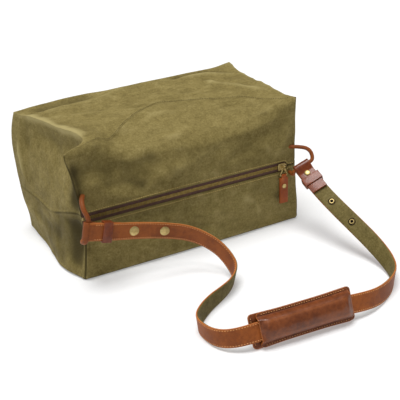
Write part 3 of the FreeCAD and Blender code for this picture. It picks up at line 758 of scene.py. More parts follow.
@dataclass
class BagForm:
    """The full bag's shape: a plain box, then what slumping and handling did to it."""

    half: float = 185.0
    depth: float = 105.0
    height: float = 200.0
    zip_line: float = 96.0
    zip_half: float = 7.2
    front_fold: float = 20.0
    end_seam: float = 100.0
    top_seam: tuple[tuple[float, float], ...] = (
        (-185, -104), (-164, -88), (-142, -78), (-122, -74), (-94, -54), (-54, -24),
        (-14, 2), (3, 10), (22, 4), (42, -5), (92, -28), (128, -42), (158, -76), (185, -103))
    end_lean: tuple[tuple[float, float], ...] = (
        (-108, -9), (-98, 2), (-86, 20), (-72, 32), (-52, 32), (-23, 24), (30, 15),
        (64, 4), (90, -6), (108, -8))
    pushes: tuple[Push, ...] = (
        # the front panel slumps back and down below the top seam
        Push((-100, -105, 205), (38, 62, 50), (0, 10, -24)),
        Push((-52, -105, 205), (34, 62, 46), (0, 7, -10)),
        Push((20, -105, 205), (70, 62, 46), (0, 9, -21)),
        Push((110, -105, 205), (55, 58, 46), (0, 7, -13)),
        # hollows under the front's top fold
        Push((-135, -105, 170), (34, 30, 22), (0, 8, -3)),
        Push((-88, -105, 150), (34, 30, 22), (0, 7, 0)),
        Push((20, -105, 152), (60, 30, 20), (0, 5, 0)),
        Push((110, -105, 156), (40, 30, 22), (0, 4, 0)),
        # front-left seam drawn in behind the strap
        Push((-188, -108, 62), (18, 24, 74), (13, 3, 0)),
        Push((-188, -108, 200), (22, 26, 26), (-6, -3, -4)),
        # front-right seam drawn in, with the end bellying past it
        Push((188, -108, 100), (14, 16, 90), (-8, 1, 0)),
        Push((185, -66, 110), (16, 30, 100), (6, 0, 0)),
        # ends belly out
        Push((-185, 20, 60), (20, 70, 60), (-9, 0, 0)),
        Push((-185, 105, 135), (26, 46, 70), (-11, 0, 0)),
        Push((-185, -45, 10), (30, 44, 34), (-8, 0, 0)),
        Push((185, 10, 70), (20, 80, 60), (7, 0, 0)),
        Push((185, -60, 205), (40, 60, 50), (-8, 0, 0)),
        Push((188, -108, 204), (26, 26, 24), (3, -2, 4)),
        Push((185, 40, 205), (34, 40, 40), (-3, 0, -1)),
        Push((188, 108, 204), (26, 22, 24), (5, 6, 3)),
        # walls belly
        Push((30, -105, 40), (110, 20, 40), (0, -4, 0)),
        Push((0, -105, 145), (120, 20, 26), (0, -3, 0)),
        Push((0, 105, 100), (150, 20, 80), (0, 7, 0)),
        Push((-20, 40, 203), (150, 60, 20), (0, 0, -3)),
        # ears of the boxed corners
        Push((-188, 108, 204), (30, 26, 24), (5, -2, -3)),
    )
    creases: tuple[Crease, ...] = (
        # pinched seam along the back of the top: pale on its ridges (rubbed wax, partly a painted
        # highlight), with painted shade in the dark valleys beside it
        Crease(((-176, 54, 199), (-128, 64, 203), (-62, 72, 203), (0, 100, 201)), 9.0, 6.0, 0.45),
        Crease(((-176, 80, 199), (-120, 86, 200), (-50, 94, 200)), 12.0, -5.0, -0.50),
        Crease(((60, 98, 200), (130, 94, 200), (178, 68, 198)), 7.0, -5.0, -0.55),
        Crease(((70, 84, 200), (130, 78, 200), (172, 54, 198)), 6.0, 3.0, 0.50),
        # ridge from the back-left ear forward to the top seam, pale with a painted highlight, and
        # painted shade in the hollow below it on the end
        Crease(((-186, 66, 197), (-168, 30, 200), (-158, -23, 200), (-148, -52, 199),
                (-142, -66, 198)), 9.0, 4.5, 0.60),
        Crease(((-172, 60, 170), (-174, 10, 176), (-170, -30, 178), (-160, -62, 184)),
               14.0, -4.0, -0.30),
        # front-left shoulder: a hollow under the corner and the folds that lead from it; painted
        # shade darkens the hollows, and the crest of the top fold carries a painted highlight
        Crease(((-164, -106, 174), (-138, -105, 160), (-110, -106, 146)), 17.0, -5.0, -0.45),
        Crease(((-118, -104, 158), (-84, -104, 158), (-44, -104, 162)), 15.0, -6.0, -0.60),
        Crease(((-110, -105, 146), (-88, -106, 130), (-70, -107, 118)), 14.0, -4.5, -0.50),
        Crease(((-158, -106, 150), (-140, -107, 128), (-112, -108, 112)), 8.0, 3.0, 0.25),
        Crease(((-150, -94, 199), (-128, -94, 193), (-106, -92, 184), (-86, -92, 176)),
               6.5, 4.5, 0.80),
        Crease(((-86, -92, 176), (-66, -91, 181), (-40, -88, 184), (0, -88, 180)), 6.5, 4.0, 0.70),
        Crease(((0, -88, 180), (50, -88, 180), (110, -90, 184), (150, -94, 190)), 6.0, 2.5, 0.40),
        Crease(((-96, -84, 184), (-50, -70, 190), (0, -66, 188)), 9.0, -3.0, -0.25),
        # the end is tucked in behind the front-left seam; its dark marks are painted shade for the
        # tuck, which the shape alone doesn't darken enough
        Crease(((-178, -88, 182), (-178, -86, 140), (-178, -86, 100)), 15.0, -5.0, -1.10),
        Crease(((-178, -86, 96), (-176, -84, 50), (-180, -84, 8)), 17.0, -7.0, -1.05),
        Crease(((-184, -50, 96), (-186, -40, 62), (-184, -30, 30)), 16.0, -3.0, -0.45),
        Crease(((-186, -98, 192), (-182, -98, 150), (-178, -98, 108)), 10.0, -2.0, -0.90),
        Crease(((-180, -70, 92), (-180, -66, 60), (-180, -60, 20)), 16.0, -4.0, -0.40),
        # pulls and dents on the front: painted shade in the dents, the pulls paled (rubbed wax,
        # partly a painted highlight)
        Crease(((-150, -107, 130), (-90, -109, 142), (-30, -109, 150)), 9.0, -2.6, -0.30),
        Crease(((-60, -109, 128), (0, -110, 140), (50, -108, 160)), 10.0, 3.2, 0.30),
        Crease(((30, -108, 122), (84, -108, 136), (140, -106, 160)), 10.0, -3.0, -0.30),
        Crease(((100, -107, 150), (124, -107, 138), (132, -107, 122)), 6.0, 2.2, 0.45),
        Crease(((140, -106, 112), (158, -106, 134), (168, -105, 168)), 7.0, 2.4, 0.30),
        Crease(((0, -106, 168), (60, -104, 172), (120, -102, 178)), 9.0, -2.4, -0.20),
        Crease(((-120, -107, 60), (-40, -110, 44), (60, -110, 30)), 11.0, -2.4, -0.25),
        Crease(((20, -110, 60), (56, -110, 40), (70, -110, 16)), 7.0, 2.2, 0.30),
        Crease(((78, -109, 70), (104, -109, 48), (116, -108, 24)), 6.0, 2.4, 0.50),
        Crease(((90, -109, 84), (130, -108, 60), (172, -106, 26)), 9.0, -2.6, -0.25),
        # light creases on the left end, pale as rubbed wax and painted highlight; painted shade in
        # its sunk creases and across its lower part
        Crease(((-184, 88, 176), (-196, 82, 140), (-197, 74, 92)), 4.5, 4.0, 0.85),
        Crease(((-184, 66, 172), (-194, 62, 140), (-196, 52, 100)), 6.0, -4.0, -0.45),
        Crease(((-166, -46, 186), (-180, -58, 152), (-188, -50, 112)), 5.0, 5.5, 0.85),
        Crease(((-172, -10, 182), (-186, -16, 146), (-194, -14, 108)), 9.0, -6.0, -0.50),
        Crease(((-192, 60, 60), (-196, 10, 44), (-192, -50, 52)), 15.0, -4.0, -0.50),
        Crease(((-190, 20, 20), (-190, -30, 18), (-186, -70, 22)), 16.0, -2.0, -0.50),
        Crease(((-192, 96, 56), (-196, 66, 30), (-195, 34, 12)), 5.0, 3.0, 0.60),
        # broad folds across the top: pale crests (rubbed wax, partly a painted highlight) and
        # painted shade in the valleys
        Crease(((-110, 66, 201), (-74, 20, 201), (-60, -20, 198)), 11.0, -2.6, -0.20),
        Crease(((-140, 30, 200), (-96, 16, 201), (-50, 20, 200)), 7.0, 2.2, 0.35),
        Crease(((-60, -46, 196), (-16, -30, 198), (30, -36, 196)), 8.0, 2.4, 0.35),
        Crease(((30, 72, 201), (64, 34, 200), (116, -6, 198)), 11.0, -2.6, -0.25),
        Crease(((-10, 20, 200), (24, 54, 201), (44, 92, 201)), 6.0, 2.2, 0.40),
        Crease(((50, -60, 192), (104, -62, 194), (160, -76, 197)), 8.0, 2.2, 0.30),
        Crease(((104, 58, 200), (138, 10, 199), (164, -44, 198)), 6.0, 2.6, 0.50),
        Crease(((60, 10, 200), (100, 24, 200), (120, 50, 200)), 6.0, 1.8, 0.35),
    )
    rumple: Rumple = field(default_factory=lambda: Rumple(11))
    zip_hold: float = 15.0
    end_droop: float = 26.0
    wave_length: float = 70.0
    wave_front: float = 2.2
    wave_end: float = 1.6
    wave_top: float = 1.6
    wrinkle_length: float = 26.0
    wrinkle: float = 1.7
    # small wrinkles: pale crests and painted shade in their hollows
    wrinkle_rub_and_painted_light: float = 0.14

    def fold_radius(self, x: Array) -> Array:
        """Radius of the soft fold at the top of the front, tighter at the ends."""
        share = np.clip(np.abs(x) / self.half, 0, 1)
        return self.front_fold * (1 - share ** 6) + 4.0

    def section(self, x: Array, run: Array) -> Array:
        """A place on the plain box's front and top.

        Args:
            x: along the bag.
            run: distance along the cross-section, 0 in the middle of the fold.

        Returns:
            Places, in millimetres.
        """
        radius = self.fold_radius(x)
        arc = radius * math.pi / 4
        turn = np.clip((run + arc) / radius, 0, math.pi / 2)
        y = -self.depth + radius * (1 - np.cos(turn)) + np.maximum(run - arc, 0)
        z = self.height - radius * (1 - np.sin(turn)) + np.minimum(run + arc, 0)
        return np.stack([x, y, z], axis=-1)

    def run_at_height(self, x: Array, z: float) -> Array:
        """Distance along the cross-section to a height on the front."""
        radius = self.fold_radius(x)
        return z - (self.height - radius) - radius * math.pi / 4

    def run_at_depth(self, x: Array, y: Array) -> Array:
        """Distance along the cross-section to a depth on the top."""
        radius = self.fold_radius(x)
        return y + self.depth - radius + radius * math.pi / 4

    def slump(self, places: Array) -> Array:
        """Move places on the plain box to where the used bag holds them."""
        moved = places.copy()
        x, y, z = (places[..., axis] for axis in range(3))
        keep_zip = 1 - np.exp(-((z - self.zip_line) / self.zip_hold) ** 2) * (
            smooth_step(-y, 90.0, 104.0)) * smooth_step(176.0 - np.abs(x), 0.0, 12.0)
        for push in self.pushes:
            moved += push.field(places) * keep_zip[..., None]
        high = smooth_step(z, 92.0, 206.0) ** 1.2
        near_left = np.exp(-((x + self.half) / 56.0) ** 2)
        moved[..., 0] += through(y, self.end_lean) * high * near_left
        lower = np.exp(-((x + self.half) / 26.0) ** 2) * np.exp(-((z - self.end_seam) / 60.0) ** 2)
        moved[..., 2] -= self.end_droop * lower * smooth_step(y, -100.0, 0.0)
        wave = self.rumple.height(places, self.wave_length, 2)
        moved[..., 1] += self.wave_front * wave * keep_zip * smooth_step(z, 0.0, 20.0)
        moved[..., 0] += self.wave_end * self.rumple.height(places + 40.0, 60.0, 2) * (
            smooth_step(np.abs(x), 150.0, 185.0))
        moved[..., 2] = np.where(z > 120, moved[..., 2] + self.wave_top * wave, moved[..., 2])
        moved[..., 2] = np.maximum(moved[..., 2], 0.0)
        return moved

    def relief(self, places: Array) -> tuple[Array, Array]:
        """Creases and small wrinkles.

        Args:
            places: places on the slumped bag.

        Returns:
            Height along the cloth's own normal, and the mark: pale for rubbed ridges (partly a
            painted highlight), dark as painted shade in hollows.
        """
        fine = self.rumple.height(places, self.wrinkle_length, 3)
        height = self.wrinkle * fine
        # wrinkle crests paled, their hollows darkened with painted shade
        rub = self.wrinkle_rub_and_painted_light * fine
        for crease in self.creases:
            near = crease.nearness(places)
            height += crease.height * near
            rub += crease.rub * near
        return height, rub


Direction = tuple[float, float, float]
LEFT: Direction = (-1.0, 0.0, 0.0)
RIGHT: Direction = (1.0, 0.0, 0.0)
FRONT: Direction = (0.0, -1.0, 0.0)
BACK: Direction = (0.0, 1.0, 0.0)
UP: Direction = (0.0, 0.0, 1.0)
DOWN: Direction = (0.0, 0.0, -1.0)


def between(first: Direction, second: Direction) -> Direction:
    """The unit direction halfway between two."""
    middle = np.array(first) + np.array(second)
    return tuple(middle / np.linalg.norm(middle))


@dataclass(frozen=True)
class Panel:
    """One canvas panel: its outline on the plain box and how its edges are finished."""

    name: str
    node: str
    columns: int
    rows: int
    place: Callable[[Array, Array], Array]
    faces: tuple[float, float, float]
    edges: dict[str, tuple[Edge, tuple[float, float, float]]]


@dataclass
class CanvasBody:
    """The bag's nine canvas panels, its lining and its seams."""

    bench: Bench
    form: BagForm
    cloth: float = 1.4
    lining_inset: float = 6.0
    lining_tuck: tuple[float, float, float] = (16.0, 5.0, 0.0)
    floor_gap: float = 0.2
    fold_spread: float = 14.0
    fold_rub: float = 0.40

    def slot_half(self, x: Array) -> Array:
        """Half the width of the zipper's slot, closing at both ends."""
        ends = smooth_step(x + 179.5, 0.0, 6.0) * smooth_step(165.0 - x, 0.0, 8.0)
        return 0.4 + (self.form.zip_half - 0.4) * ends

    def panels(self) -> list[Panel]:
        """The nine panels of the plain box."""
        form = self.form
        half, depth, height, seam = form.half, form.depth, form.height, form.end_seam
        left, right, front, back, up, down = LEFT, RIGHT, FRONT, BACK, UP, DOWN

        def across(u: Array) -> Array:
            """Place along the bag."""
            return -half + 2 * half * u

        def front_lower(u: Array, v: Array) -> Array:
            """From the base's edge up to the zipper."""
            x = across(u)
            return np.stack([x, np.full_like(x, -depth),
                             (form.zip_line - self.slot_half(x)) * v], axis=-1)

        def front_upper(u: Array, v: Array) -> Array:
            """From the zipper over the fold to the top seam."""
            x = across(u)
            start = form.run_at_height(x, 0.0) + form.zip_line + self.slot_half(x)
            stop = form.run_at_depth(x, through(x, form.top_seam))
            return form.section(x, start + (stop - start) * v)

        def top(u: Array, v: Array) -> Array:
            """From the top seam to the back."""
            x = across(u)
            start = form.run_at_depth(x, through(x, form.top_seam))
            stop = form.run_at_depth(x, np.full_like(x, depth))
            return form.section(x, start + (stop - start) * v)

        def back_wall(u: Array, v: Array) -> Array:
            """The back, from the base up."""
            x = across(u)
            return np.stack([x, np.full_like(x, depth), height * v], axis=-1)

        def base(u: Array, v: Array) -> Array:
            """The base, from the front to the back."""
            x = across(u)
            return np.stack([x, -depth + 2 * depth * v, np.zeros_like(x)], axis=-1)

        def end(side: float, low: float, high: float) -> Callable[[Array, Array], Array]:
            """One end panel between two heights; side is -1 for the left end."""
            def place(u: Array, v: Array) -> Array:
                """From the front to the back of the end."""
                return np.stack([np.full_like(u, side * half), -depth + 2 * depth * u,
                                 low + (high - low) * v], axis=-1)
            return place

        def sewn(first: Direction, second: Direction) -> tuple[Edge, Direction]:
            """A seam between panels that face those two ways."""
            return Edge.SEWN, between(first, second)

        front_sides = {"left": sewn(front, left), "right": sewn(front, right)}
        back_sides = {"left": sewn(back, left), "right": sewn(back, right)}
        base_sides = {"left": sewn(down, left), "right": sewn(down, right)}
        top_sides = {"left": (Edge.FOLD, between(up, left)),
                     "right": (Edge.FOLD, between(up, right))}
        result = [
            Panel("canvas_front_lower", "front_lower_panel", 132, 42, front_lower, front,
                  front_sides | {"bottom": sewn(front, down), "top": (Edge.ZIP, front)}),
            Panel("canvas_front_upper", "front_upper_panel", 150, 84, front_upper, front,
                  front_sides | {"bottom": (Edge.ZIP, front), "top": (Edge.FLAT, up)}),
            Panel("canvas_top", "top_panel", 150, 66, top, up,
                  top_sides | {"bottom": (Edge.FLAT, up), "top": sewn(up, back)}),
            Panel("canvas_back", "back_panel", 110, 64, back_wall, back,
                  back_sides | {"bottom": sewn(back, down), "top": sewn(back, up)}),
            Panel("canvas_base", "base_panel", 96, 56, base, down,
                  base_sides | {"bottom": sewn(down, front), "top": sewn(down, back)}),
        ]
        for word, side, out in (("left", -1.0, left), ("right", 1.0, right)):
            ends = {"left": sewn(out, front), "right": sewn(out, back)}
            result += [
                Panel(f"canvas_{word}_end_lower", f"{word}_end_lower_panel", 84, 40,
                      end(side, 0.0, seam), out,
                      ends | {"bottom": sewn(out, down), "top": (Edge.FLAT, out)}),
                Panel(f"canvas_{word}_end_upper", f"{word}_end_upper_panel", 84, 46,
                      end(side, seam, height), out,
                      ends | {"bottom": (Edge.FLAT, out), "top": (Edge.FOLD, between(out, up))}),
            ]
        return result

    @staticmethod
    def crowded(count: int) -> Array:
        """Shares from 0 to 1 that crowd towards both ends, where the seams are."""
        even = np.linspace(0, 1, count)
        return even - 0.55 * np.sin(2 * math.pi * even) / (2 * math.pi)

    @staticmethod
    def outward(points: Array, faces: Sequence[float]) -> Array:
        """Unit normals of a grid of points, on the side that a panel faces."""
        along = np.gradient(points, axis=1)
        up = np.gradient(points, axis=0)
        normal = np.cross(along, up)
        normal /= np.maximum(np.linalg.norm(normal, axis=-1, keepdims=True), 1e-9)
        rows, columns = points.shape[:2]
        if float(normal[rows // 2, columns // 2] @ np.array(faces)) < 0:
            normal = -normal
        return normal

    def shape(self, panel: Panel, inset: float = 0.0) -> tuple[Array, Array, Array]:
        """Places, normals and marks of one panel: rubbed wax, painted highlights and painted shade.

        Args:
            panel: the panel.
            inset: how far inside the canvas the cloth lies, for the lining.

        Returns:
            Places in millimetres, unit normals, and marks.
        """
        u, v = np.meshgrid(self.crowded(panel.columns), self.crowded(panel.rows))
        plain = panel.place(u, v)
        if inset:
            form = self.form
            middle = np.array([0.0, 0.0, form.height / 2])
            shrink = 1 - inset / np.array([form.half, form.depth, form.height / 2])
            plain = middle + (plain - middle) * shrink
        slumped = self.form.slump(plain)
        normal = self.outward(slumped, panel.faces)
        height, rub = self.form.relief(slumped)
        if inset:
            height = np.minimum(height, 0.0) * 1.3 - 1.0
        borders = {"left": (np.zeros_like(u), v), "right": (np.ones_like(u), v),
                   "bottom": (u, np.zeros_like(v)), "top": (u, np.ones_like(v))}
        fade = np.ones(u.shape)
        turn = np.zeros(plain.shape)
        lift = normal.copy()
        for side, (edge, out) in panel.edges.items():
            away = np.linalg.norm(panel.place(u, v) - panel.place(*borders[side]), axis=-1)
            near = np.clip(1 - away / edge.reach, 0, 1) ** 2
            turn -= edge.depth * near[..., None] * np.array(out)
            if edge is Edge.FOLD:
                share = np.exp(-(away / self.fold_spread) ** 2)[..., None]
                lift = lift * (1 - share) + np.array(out) * share
                rub += self.fold_rub * np.exp(-(away / edge.reach) ** 2)
                continue
            fade *= 1 - np.exp(-(away / (3.0 if edge is Edge.FLAT else 7.0)) ** 2)
            ridge = np.exp(-((away - edge.reach) / 2.4) ** 2)
            strength = 1.0 if edge is Edge.SEWN else 0.45
            turn += 0.3 * strength * ridge[..., None] * normal
            # each seam: a pale lip on its ridge (rubbed wax, partly a painted highlight) and
            # painted shade darkening its groove
            rub += strength * (0.30 * ridge - 0.95 * np.exp(-(away / 2.2) ** 2))
        lift /= np.linalg.norm(lift, axis=-1, keepdims=True)
        moved = slumped + lift * (height * fade)[..., None] + turn
        moved[..., 2] = np.maximum(moved[..., 2], self.floor_gap + inset * 0.6)
        if inset:
            tucked = smooth_step(-plain[..., 0], 110.0, 172.0)
            tucked *= smooth_step(-plain[..., 1], 30.0, 92.0)
            moved += tucked[..., None] * np.array(self.lining_tuck)
        return moved, normal, rub

    def build(self) -> None:
        """Make every panel and the lining."""
        for panel in self.panels():
            points, normal, rub = self.shape(panel)
            piece = self.bench.cloth_grid(panel.name, points * MM, normal, {"rub": rub})
            self.bench.modify(piece, "SOLIDIFY", thickness=self.cloth * MM, offset=-1.0)
            self.bench.smooth(piece, 60.0)
            self.bench.dress(piece, Finish.CANVAS)
            self.bench.report(piece, "bag", "canvas", [panel.node])
        self.lining()

    def lining(self) -> None:
        """The cotton lining: the same panels, set in, joined into one bag."""
        pieces = []
        for panel in self.panels():
            coarse = Panel(f"lining_{panel.node}", panel.node, panel.columns // 3,
                           panel.rows // 3, panel.place, panel.faces, panel.edges)
            points, normal, _ = self.shape(coarse, self.lining_inset)
            pieces.append(self.bench.cloth_grid(coarse.name, points * MM, normal))
        lining = self.bench.gather("cotton_lining", pieces)
        self.bench.modify(lining, "SOLIDIFY", thickness=0.5 * MM, offset=-1.0)
        self.bench.smooth(lining, 60.0)
        self.bench.dress(lining, Finish.LINING)
        self.bench.report(lining, "bag", "lining", ["lining"])


@dataclass
class Stitching:
    """Rows of stitches: one stitch is modelled once and copied along a line."""

    bench: Bench
    pitch: float = 3.6
    length: float = 2.5
    thread: float = 0.55

    def stitch(self) -> tuple[Array, list[tuple[int, ...]]]:
        """One stitch of unit size, from a sphere of few faces."""
        self.bench.clear()
        bpy.ops.mesh.primitive_uv_sphere_add(segments=6, ring_count=4, radius=1.0)
        return self.bench.pattern()

    def row(self, name: str, lines: Sequence[tuple[Array, Array]], finish: Finish,
            body: str | None, slot: str | None) -> bpy.types.Object:
        """Rows of stitches along one or more lines.

        Args:
            name: the piece's name.
            lines: (places, outward normals), both points x 3, in millimetres.
            finish: the thread's finish.
            body: the body it rides on.
            slot: the record's slot.

        Returns:
            All the stitches as one piece.
        """
        def read(values: Array, at: float) -> Array:
            """Values along the line at one distance."""
            return np.array([np.interp(at, run, values[:, axis]) for axis in range(3)])

        places, faces = self.stitch()
        all_places, all_faces, total = [], [], 0
        for line, normals in lines:
            steps = np.linalg.norm(np.diff(line, axis=0), axis=1)
            run = np.concatenate([[0.0], np.cumsum(steps)])
            for middle in np.arange(self.pitch / 2, run[-1], self.pitch):
                centre = read(line, middle)
                out = read(normals, middle)
                along = read(line, middle + 0.6) - read(line, middle - 0.6)
                along /= max(np.linalg.norm(along), 1e-9)
                out -= along * float(out @ along)
                out /= max(np.linalg.norm(out), 1e-9)
                side = np.cross(out, along)
                frame_axes = np.stack([along * self.length / 2, side * self.thread,
                                       out * self.thread])
                all_places.append((places[:, [2, 0, 1]] @ frame_axes + centre) * MM)
                all_faces += [tuple(corner + total for corner in face) for face in faces]
                total += len(places)
        piece = self.bench.solid(name, np.concatenate(all_places), all_faces)
        self.bench.smooth(piece, 80.0)
        self.bench.dress(piece, finish)
        return self.bench.report(piece, body, slot)


@dataclass
class CanvasStitches:
    """Topstitching beside the zipper and the dark stitches along the top seam."""

    bench: Bench
    body: CanvasBody
    zip_in: float = 3.4
    seam_in: float = 2.6
    upper_height: float = 150.0
    top_depth: float = 130.0

    def panel_line(self, panel: Panel, share: float, count: int, lift: float,
                   span: tuple[float, float] = (0.02, 0.98)) -> tuple[Array, Array]:
        """A line on a panel at a share of its height.

        Args:
            panel: the panel sewn through.
            share: how far up the panel the line runs, 0 to 1.
            count: points along the line.
            lift: how far the thread stands off the cloth, in millimetres.
            span: the shares of the width where it starts and stops.

        Returns:
            Places and outward normals.
        """
        points, normal, _ = self.body.shape(panel)
        columns = CanvasBody.crowded(panel.columns)
        rows = CanvasBody.crowded(panel.rows)
        wide = np.linspace(*span, count)
        tall = np.full_like(wide, share)
        column = np.interp(wide, columns, np.arange(panel.columns))
        row = np.interp(tall, rows, np.arange(panel.rows))
        low_c = np.minimum(column.astype(int), panel.columns - 2)
        low_r = np.minimum(row.astype(int), panel.rows - 2)
        part_c = (column - low_c)[:, None]
        part_r = (row - low_r)[:, None]

        def read(grid: Array) -> Array:
            """Values of the grid along the line."""
            near = grid[low_r, low_c] * (1 - part_c) + grid[low_r, low_c + 1] * part_c
            far = grid[low_r + 1, low_c] * (1 - part_c) + grid[low_r + 1, low_c + 1] * part_c
            return near * (1 - part_r) + far * part_r

        out = read(normal)
        return read(points) + out * lift, out

    def build(self) -> None:
        """Sew the seams."""
        panels = {panel.node: panel for panel in self.body.panels()}
        lower, upper = panels["front_lower_panel"], panels["front_upper_panel"]
        top = panels["top_panel"]
        sewer = Stitching(self.bench)
        lower_height = self.body.form.zip_line - self.body.form.zip_half
        below = self.panel_line(lower, 1 - self.zip_in / lower_height, 240, 0.2, (0.03, 0.97))
        above = self.panel_line(upper, self.zip_in / self.upper_height, 240, 0.2, (0.03, 0.97))
        sewer.row("zip_topstitching", [below, above], Finish.GOLD_THREAD, "bag", None)
        on_top = self.panel_line(top, self.seam_in / self.top_depth, 400, 0.1)
        bolder = Stitching(self.bench, pitch=3.6, length=2.4, thread=0.5)
        bolder.row("top_seam_stitches", [on_top], Finish.SEAM_THREAD, "bag", None)


# ------------------------------------------------------------------------ the zipper

@dataclass
class Zipper:
    """Tapes, teeth and the bought-in hardware, dressed where the frame already has them."""

    bench: Bench
    form: BagForm
    tape_inner: float = 2.3
    tape_outer: float = 10.5
    tooth_pitch: float = 2.54
    tooth_width: float = 1.5
    tooth_height: float = 3.3
    tooth_thick: float = 2.0
    tooth_offset: float = 0.95
    tape_ends: tuple[float, float] = (-175.0, 164.0)

    def build(self) -> None:
        """Make the tapes and dress the metal."""
        self.tapes()
        self.teeth()
        for node, finish in (("zipper_top_stops", Finish.BRASS),
                             ("zipper_bottom_stop", Finish.BRASS),
                             ("pull_ring", Finish.BRASS), ("pull_rivet", Finish.BRASS)):
            self.bench.dress(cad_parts[node], finish)
            LOG.info("%s: dressed", node)
        slider = self.bench.refine("slider", "zip_slider_body", 0.3)
        self.bench.dress(slider, Finish.BRASS)
        self.bench.report(slider, "zip_slider", "brass", ["slider"])
        tab = self.bench.refine("pull_tab", "leather_pull", 0.5)
        self.bench.dress(tab, Finish.PULL_LEATHER)
        self.bench.report(tab, "zip_pull", "leather", ["pull_tab"])

    def tooth(self) -> tuple[Array, list[tuple[int, ...]]]:
        """One tooth round the origin: a small cast block, narrower at its tip."""
        self.bench.clear()
        bpy.ops.mesh.primitive_cube_add(size=1.0)
        places, faces = self.bench.pattern()
        places *= (self.tooth_width, self.tooth_thick, self.tooth_height)
        tip = places[:, 2] < 0
        places[tip, 0] *= 0.8
        places[tip, 1] *= 0.8
        return places, faces

    def teeth(self) -> None:
        """Two combs of teeth, each row half a pitch from the other."""
        pattern, faces = self.tooth()
        for word, side in (("upper", 1.0), ("lower", -1.0)):
            node = f"zipper_teeth_{word}"
            low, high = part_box(node)
            middle_y = (low[1] + high[1]) / 2 / MM
            slim = ((high[1] - low[1]) / MM - 0.1) / self.tooth_thick
            first = low[0] / MM + self.tooth_width
            count = int((high[0] - low[0]) / MM / self.tooth_pitch)
            places, all_faces = [], []
            for number in range(count):
                centre = np.array([first + number * self.tooth_pitch, middle_y,
                                   self.form.zip_line + side * self.tooth_offset])
                places.append((pattern * (1.0, slim, side) + centre) * MM)
                start = number * len(pattern)
                all_faces += [tuple(corner + start for corner in face) for face in faces]
            piece = self.bench.solid(f"brass_teeth_{word}", np.concatenate(places), all_faces)
            self.bench.dress(piece, Finish.TEETH_BRASS)
            self.bench.report(piece, "bag", "brass", [node])

    def tapes(self) -> None:
        """Two woven tapes with a corded edge, lying behind the canvas."""
        for word, side in (("upper", 1.0), ("lower", -1.0)):
            node = f"zipper_tape_{word}"
            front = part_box(node)[0][1] / MM
            u, v = np.meshgrid(np.linspace(0, 1, 160), np.linspace(0, 1, 12))
            x = self.tape_ends[0] + (self.tape_ends[1] - self.tape_ends[0]) * u
            reach = self.tape_inner + (self.tape_outer - self.tape_inner) * v
            cord = 0.35 * np.exp(-(v / 0.16) ** 2)
            y = np.full_like(x, front) - 0.1 - cord
            points = np.stack([x, y, self.form.zip_line + side * reach], axis=-1)
            out = np.zeros_like(points)
            out[..., 1] = -1.0
            piece = self.bench.cloth_grid(f"woven_tape_{word}", points * MM, out)
            self.bench.modify(piece, "SOLIDIFY", thickness=0.5 * MM, offset=-1.0)
            self.bench.smooth(piece, 50.0)
            self.bench.dress(piece, Finish.TAPE)
            self.bench.report(piece, "bag", "tape", [node])


# ------------------------------------------------------------------------- the strap

# The strap's line: X, Y, Z of its middle in millimetres, and how far its upper edge
# leans over, in degrees, as in the part's own design.
ROUTE = [
    (-178, -133, 90, -6), (-144, -133, 81, -6), (-107, -135, 74, -2),
    (-68, -142, 66, 3), (-32, -152, 56, 6), (-8, -177, 42, 2),
    (0, -201, 28, -8), (-1, -222, 15.5, -12), (-21, -242, 12.8, -12),
    (-44, -255, 12.6, -6), (-67, -266, 12.6, 2), (-90, -282, 12.8, 7),
    (-107, -300, 13, 6), (-108.5, -322, 13.2, 5), (-104.5, -344, 15, -3),
    (-92, -360, 18.5, -13), (-71, -369.2, 22.6, -22), (-32, -372.2, 23.4, -23),
    (18, -375.8, 23.5, -23), (66, -379.2, 23.2, -23), (102, -380.8, 19.5, -21),
    (131, -373, 14.5, -12), (158, -360, 13, -2), (179, -343, 13, 6),
    (190, -325, 13.5, 15), (197, -302, 17, 26), (197, -270, 29, 37),
    (190, -238, 45, 47), (184, -201, 60.5, 57), (178.5, -163, 78, 63),
    (177.5, -125, 95, 63),
]


class Ribbon:
    """Frames along the strap's spline: along, across (its upper edge) and inward."""

    def __init__(self, route: Sequence[tuple[float, float, float, float]]) -> None:
        """Run one spline through the route and a second one for its lean."""
        self.points = self._spline([row[:3] for row in route])
        leans = self._spline([(float(number), row[3], 0.0) for number, row in enumerate(route)])
        self.lean = leans[:, 1]
        steps = np.linalg.norm(np.diff(self.points, axis=0), axis=1)
        self.run = np.concatenate([[0.0], np.cumsum(steps)])
        self.length = float(self.run[-1])

    @staticmethod
    def _spline(places: Sequence[tuple[float, float, float]]) -> Array:
        """Points read from a NURBS spline with those control points."""
        holder = bpy.data.objects.new("strap_line", smooth_curve("strap_line", places, 10))
        mesh = bpy.data.meshes.new_from_object(holder)
        points = np.array([vertex.co[:] for vertex in mesh.vertices])
        bpy.data.meshes.remove(mesh)
        bpy.data.objects.remove(holder)
        return points

    def frames(self, run: Array) -> tuple[Array, Array, Array, Array]:
        """Middle, along, inward and across at distances along the strap."""
        def read(values: Array, at: Array) -> Array:
            """The spline's values at those distances."""
            return np.stack([np.interp(at, self.run, values[:, axis]) for axis in range(3)],
                            axis=-1)

        middle = read(self.points, run)
        step = 1.5
        ahead = read(self.points, np.minimum(run + step, self.length))
        back = read(self.points, np.maximum(run - step, 0.0))
        along = ahead - back
        along /= np.linalg.norm(along, axis=-1, keepdims=True)
        side = np.cross(along, np.array([0.0, 0.0, 1.0]))
        side /= np.linalg.norm(side, axis=-1, keepdims=True)
        upward = np.cross(side, along)
        lean = np.radians(np.interp(run, self.run, self.lean))[:, None]
        across = upward * np.cos(lean) + side * np.sin(lean)
        return middle, along, np.cross(across, along), across


class Side(Enum):
    """The strap's two ends."""

    LEFT = "left"
    RIGHT = "right"


